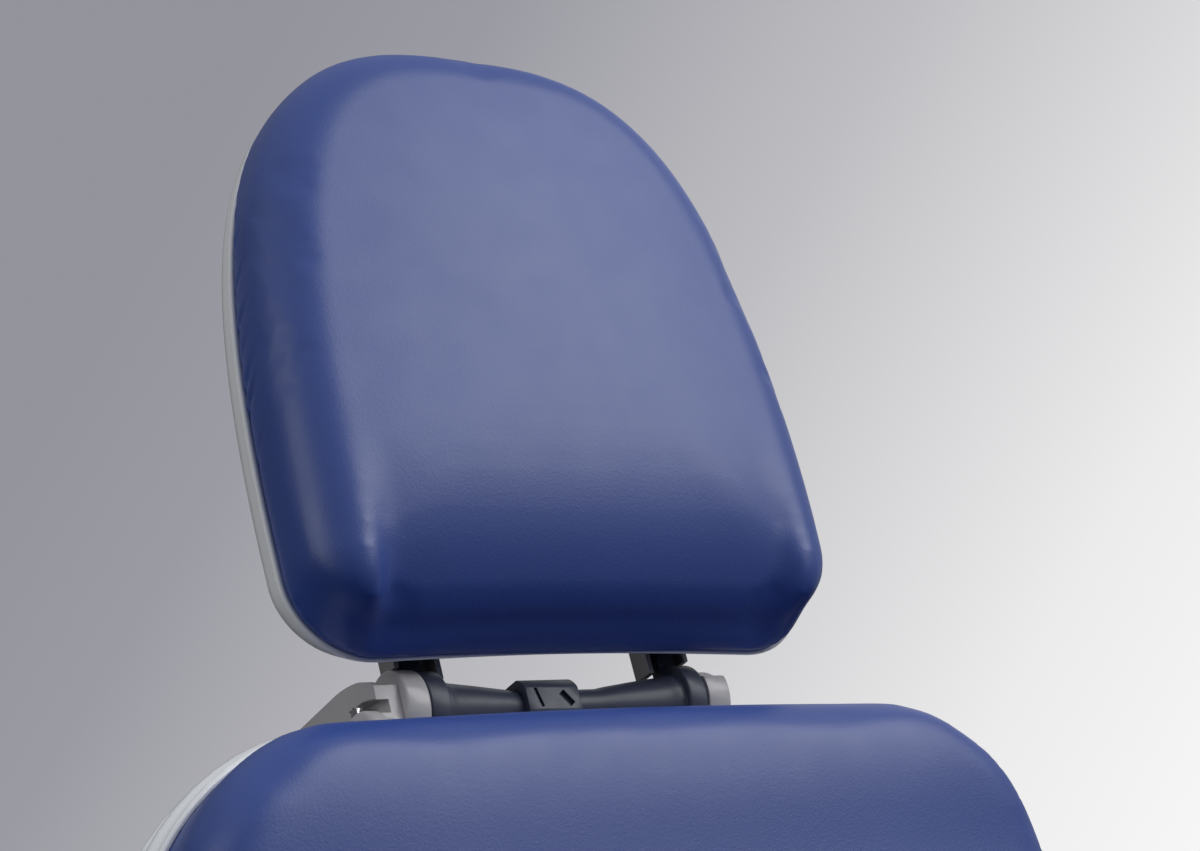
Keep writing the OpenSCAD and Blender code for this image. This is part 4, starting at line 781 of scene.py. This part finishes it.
# %% Gathers in the cover
# where each fold starts along the rim, and how deep it is
FOLDS = [(-80, 0.35), (-47, 1.0), (-33, 0.9), (-14, 0.4), (7, 0.8), (36, 0.6), (64, 0.35), (97, 0.3),
         (132, 0.35), (171, 0.25), (214, 0.3), (252, 0.25)]
FOLD_LEN, FOLD_START = 34, 6
FOLD_DEPTH = 1.3


def fold_height(x, v, w):
    around = v - 200 if v < 200 else 190 * math.atan2(v - 200, abs(x))
    total = 0
    for place, depth in FOLDS:
        place += 6 * math.sin(place * 1.7) * (x > 0)
        along = (around - place) * 0.6 + (w - 1) * 0.8
        across = (around - place) * 0.8 - (w - 1) * 0.6
        fade = eased(1 - along / FOLD_LEN) * eased((along + FOLD_START) / FOLD_START)
        total += depth * fade * (0.5 * math.exp(-((across - 4.5) / 3) ** 2) - math.exp(-(across / 2.2) ** 2))
    return total


def gathered(obj, place):
    into = place.inverted()
    bm = bmesh.new()
    bm.from_mesh(obj.data)
    bmesh.ops.subdivide_edges(bm, edges=bm.edges, cuts=1, use_grid_fill=True, smooth=0.6)
    bm.normal_update()
    moves = []
    for v in bm.verts:
        q = into @ v.co
        if 0 < q.z < 42 and q.y > 60:
            moves.append((v, v.normal * fold_height(q.x, q.y, q.z) * FOLD_DEPTH * MM))
    for v, move in moves:
        v.co += move
    bm.to_mesh(obj.data)
    bm.free()


gathered(head_pad, IN_HEAD)
print("headrest pad faces:", len(head_pad.data.polygons))

# %% [markdown]
# Metal and moulded parts keep their CAD shapes, but a real edge is never razor sharp. A
# copy of each one is merged into clean faces and its edges are rounded. The yoke arms'
# copies are shaped once more in the next step.

# %% Rounded copies
ROUNDING = {
    "yoke_arm_left": 2.0, "yoke_arm_right": 2.0, "hub_cap_left": 1.6, "hub_beam": 1.2, "clamp_block": 3.0,
    "bracket_left": 0.9, "bracket_right": 0.9, "release_lever": 1.6, "headrest_plate": 0.9, "slide_bars": 0.8,
    "guide_housing": 3.0, "slide_lock_knob": 1.5, "column_outer": 1.0, "column_middle": 1.0, "column_inner": 1.0,
    "column_outer_collar": 1.5, "column_middle_collar": 1.5, "base_plate": 1.5, "power_inlet": 0.8,
    "power_switch": 0.5, "foot_extension": 1.0, "axle_bolt": 0.4, "headrest_pins": 0.6, "seat_frame": 1.0,
    "lift_motor": 2.0, "back_frame": 1.0, "leg_frame": 1.0, "back_actuator": 2.0, "leg_actuator": 2.0,
    "back_actuator_rod": 0.8, "leg_actuator_rod": 0.8, "headrest_guides": 0.8, "guide_plate": 0.5,
    "slide_crossbar": 0.6,
}


def rounded(node, width):
    source = frame["nodes"][node]
    bm = bmesh.new()
    bm.from_mesh(source.data)
    bmesh.ops.remove_doubles(bm, verts=bm.verts, dist=1e-5)
    bmesh.ops.dissolve_limit(bm, angle_limit=math.radians(1), verts=bm.verts, edges=bm.edges)
    obj = piece_from(bm, node + "_rounded", slot_of[node])
    mod = obj.modifiers.new("round", "BEVEL")
    mod.width = width * MM
    mod.segments = 3
    mod.limit_method = "ANGLE"
    mod.angle_limit = math.radians(35)
    mod.harden_normals = True
    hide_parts(node)
    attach(obj, body_of[node])


for node, width in ROUNDING.items():
    rounded(node, width)
print("rounded copies:", len(ROUNDING))


# %% [markdown]
# The photograph shows the left arm's top coming down in an arc, with a round boss on its
# side. Both arms get the arc, and only the left one gets the boss.

# %% Arched arms and the boss
ARC_FROM, ARC_BEND, ARC_REACH = 8, 0.0044, 46
BOSS_R, BOSS_DEEP, BOSS_BEVEL = 24, 12, 3.5
BOSS_PLACE = (-131, -26, 5)


def arched(obj, place):
    """Let the top of a yoke arm come down in an arc towards the front."""
    bm = bmesh.new()
    bm.from_mesh(obj.data)
    bm.transform(place.inverted())
    for k in range(12):
        bmesh.ops.bisect_plane(bm, geom=bm.verts[:] + bm.edges[:] + bm.faces[:],
                               plane_co=(0, 0, 20 - 5 * k), plane_no=(0, 0, 1))
    for v in bm.verts:
        if v.co.y > ARC_FROM:
            reach = min(max(v.co.z + 30, 0), ARC_REACH)
            v.co.y -= ARC_BEND * reach ** 2 * min(1, (v.co.y - ARC_FROM) / 13)
    bm.transform(place)
    bm.to_mesh(obj.data)
    bm.free()


for name in ("left", "right"):
    arched(bpy.data.objects["yoke_arm_" + name + "_rounded"], IN_HUB)
boss_bm = bmesh.new()
bmesh.ops.create_cone(boss_bm, cap_ends=True, segments=64, radius1=BOSS_R, radius2=BOSS_R, depth=BOSS_DEEP)
boss_rims = [e for e in boss_bm.edges if len({round(v.co.z) for v in e.verts}) == 1]
bmesh.ops.bevel(boss_bm, geom=boss_rims, offset=BOSS_BEVEL, offset_type="OFFSET", segments=4, profile=0.5,
                affect="EDGES", material=-1)
boss_bm.transform(Matrix.Translation(BOSS_PLACE) @ Matrix.Rotation(math.pi / 2, 4, "Y"))
boss = piece_from(boss_bm, "arm_boss_left", "arm_paint", IN_HUB)
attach(boss, body_of["yoke_arm_left"])
print("boss faces:", len(boss.data.polygons))

# %% [markdown]
# The floor is a plain pale disc. It takes the chair's shadow and stays out of the
# photograph's frame.

# %% Floor
FLOOR_R, FLOOR_Z = 5, -0.0005
FLOOR_DARK = (0.035, 0.035, 0.04, 1)


def floor_finish():
    """Pale to the camera, and dark to all other rays, so that undersides stay dark."""
    mat = finish("floor_paint", (0.86, 0.86, 0.87), 0.7, mottle=(0.8, 0.01), bumps=((40, 0.02, 0.001),))
    nodes, links = mat.node_tree.nodes, mat.node_tree.links
    dark = nodes.new("ShaderNodeBsdfDiffuse")
    dark.inputs["Color"].default_value = FLOOR_DARK
    path = nodes.new("ShaderNodeLightPath")
    mix = nodes.new("ShaderNodeMixShader")
    links.new(path.outputs["Is Camera Ray"], mix.inputs["Fac"])
    links.new(dark.outputs["BSDF"], mix.inputs[1])
    links.new(nodes["Principled BSDF"].outputs["BSDF"], mix.inputs[2])
    links.new(mix.outputs["Shader"], nodes["Material Output"].inputs["Surface"])
    return mat


floor_bm = bmesh.new()
bmesh.ops.create_circle(floor_bm, cap_ends=True, segments=96, radius=FLOOR_R)
floor_mesh = bpy.data.meshes.new("floor")
floor_bm.to_mesh(floor_mesh)
floor_bm.free()
floor = bpy.data.objects.new("floor", floor_mesh)
floor.location.z = FLOOR_Z
bpy.context.collection.objects.link(floor)
floor.data.materials.append(floor_finish())
print("floor radius:", FLOOR_R)
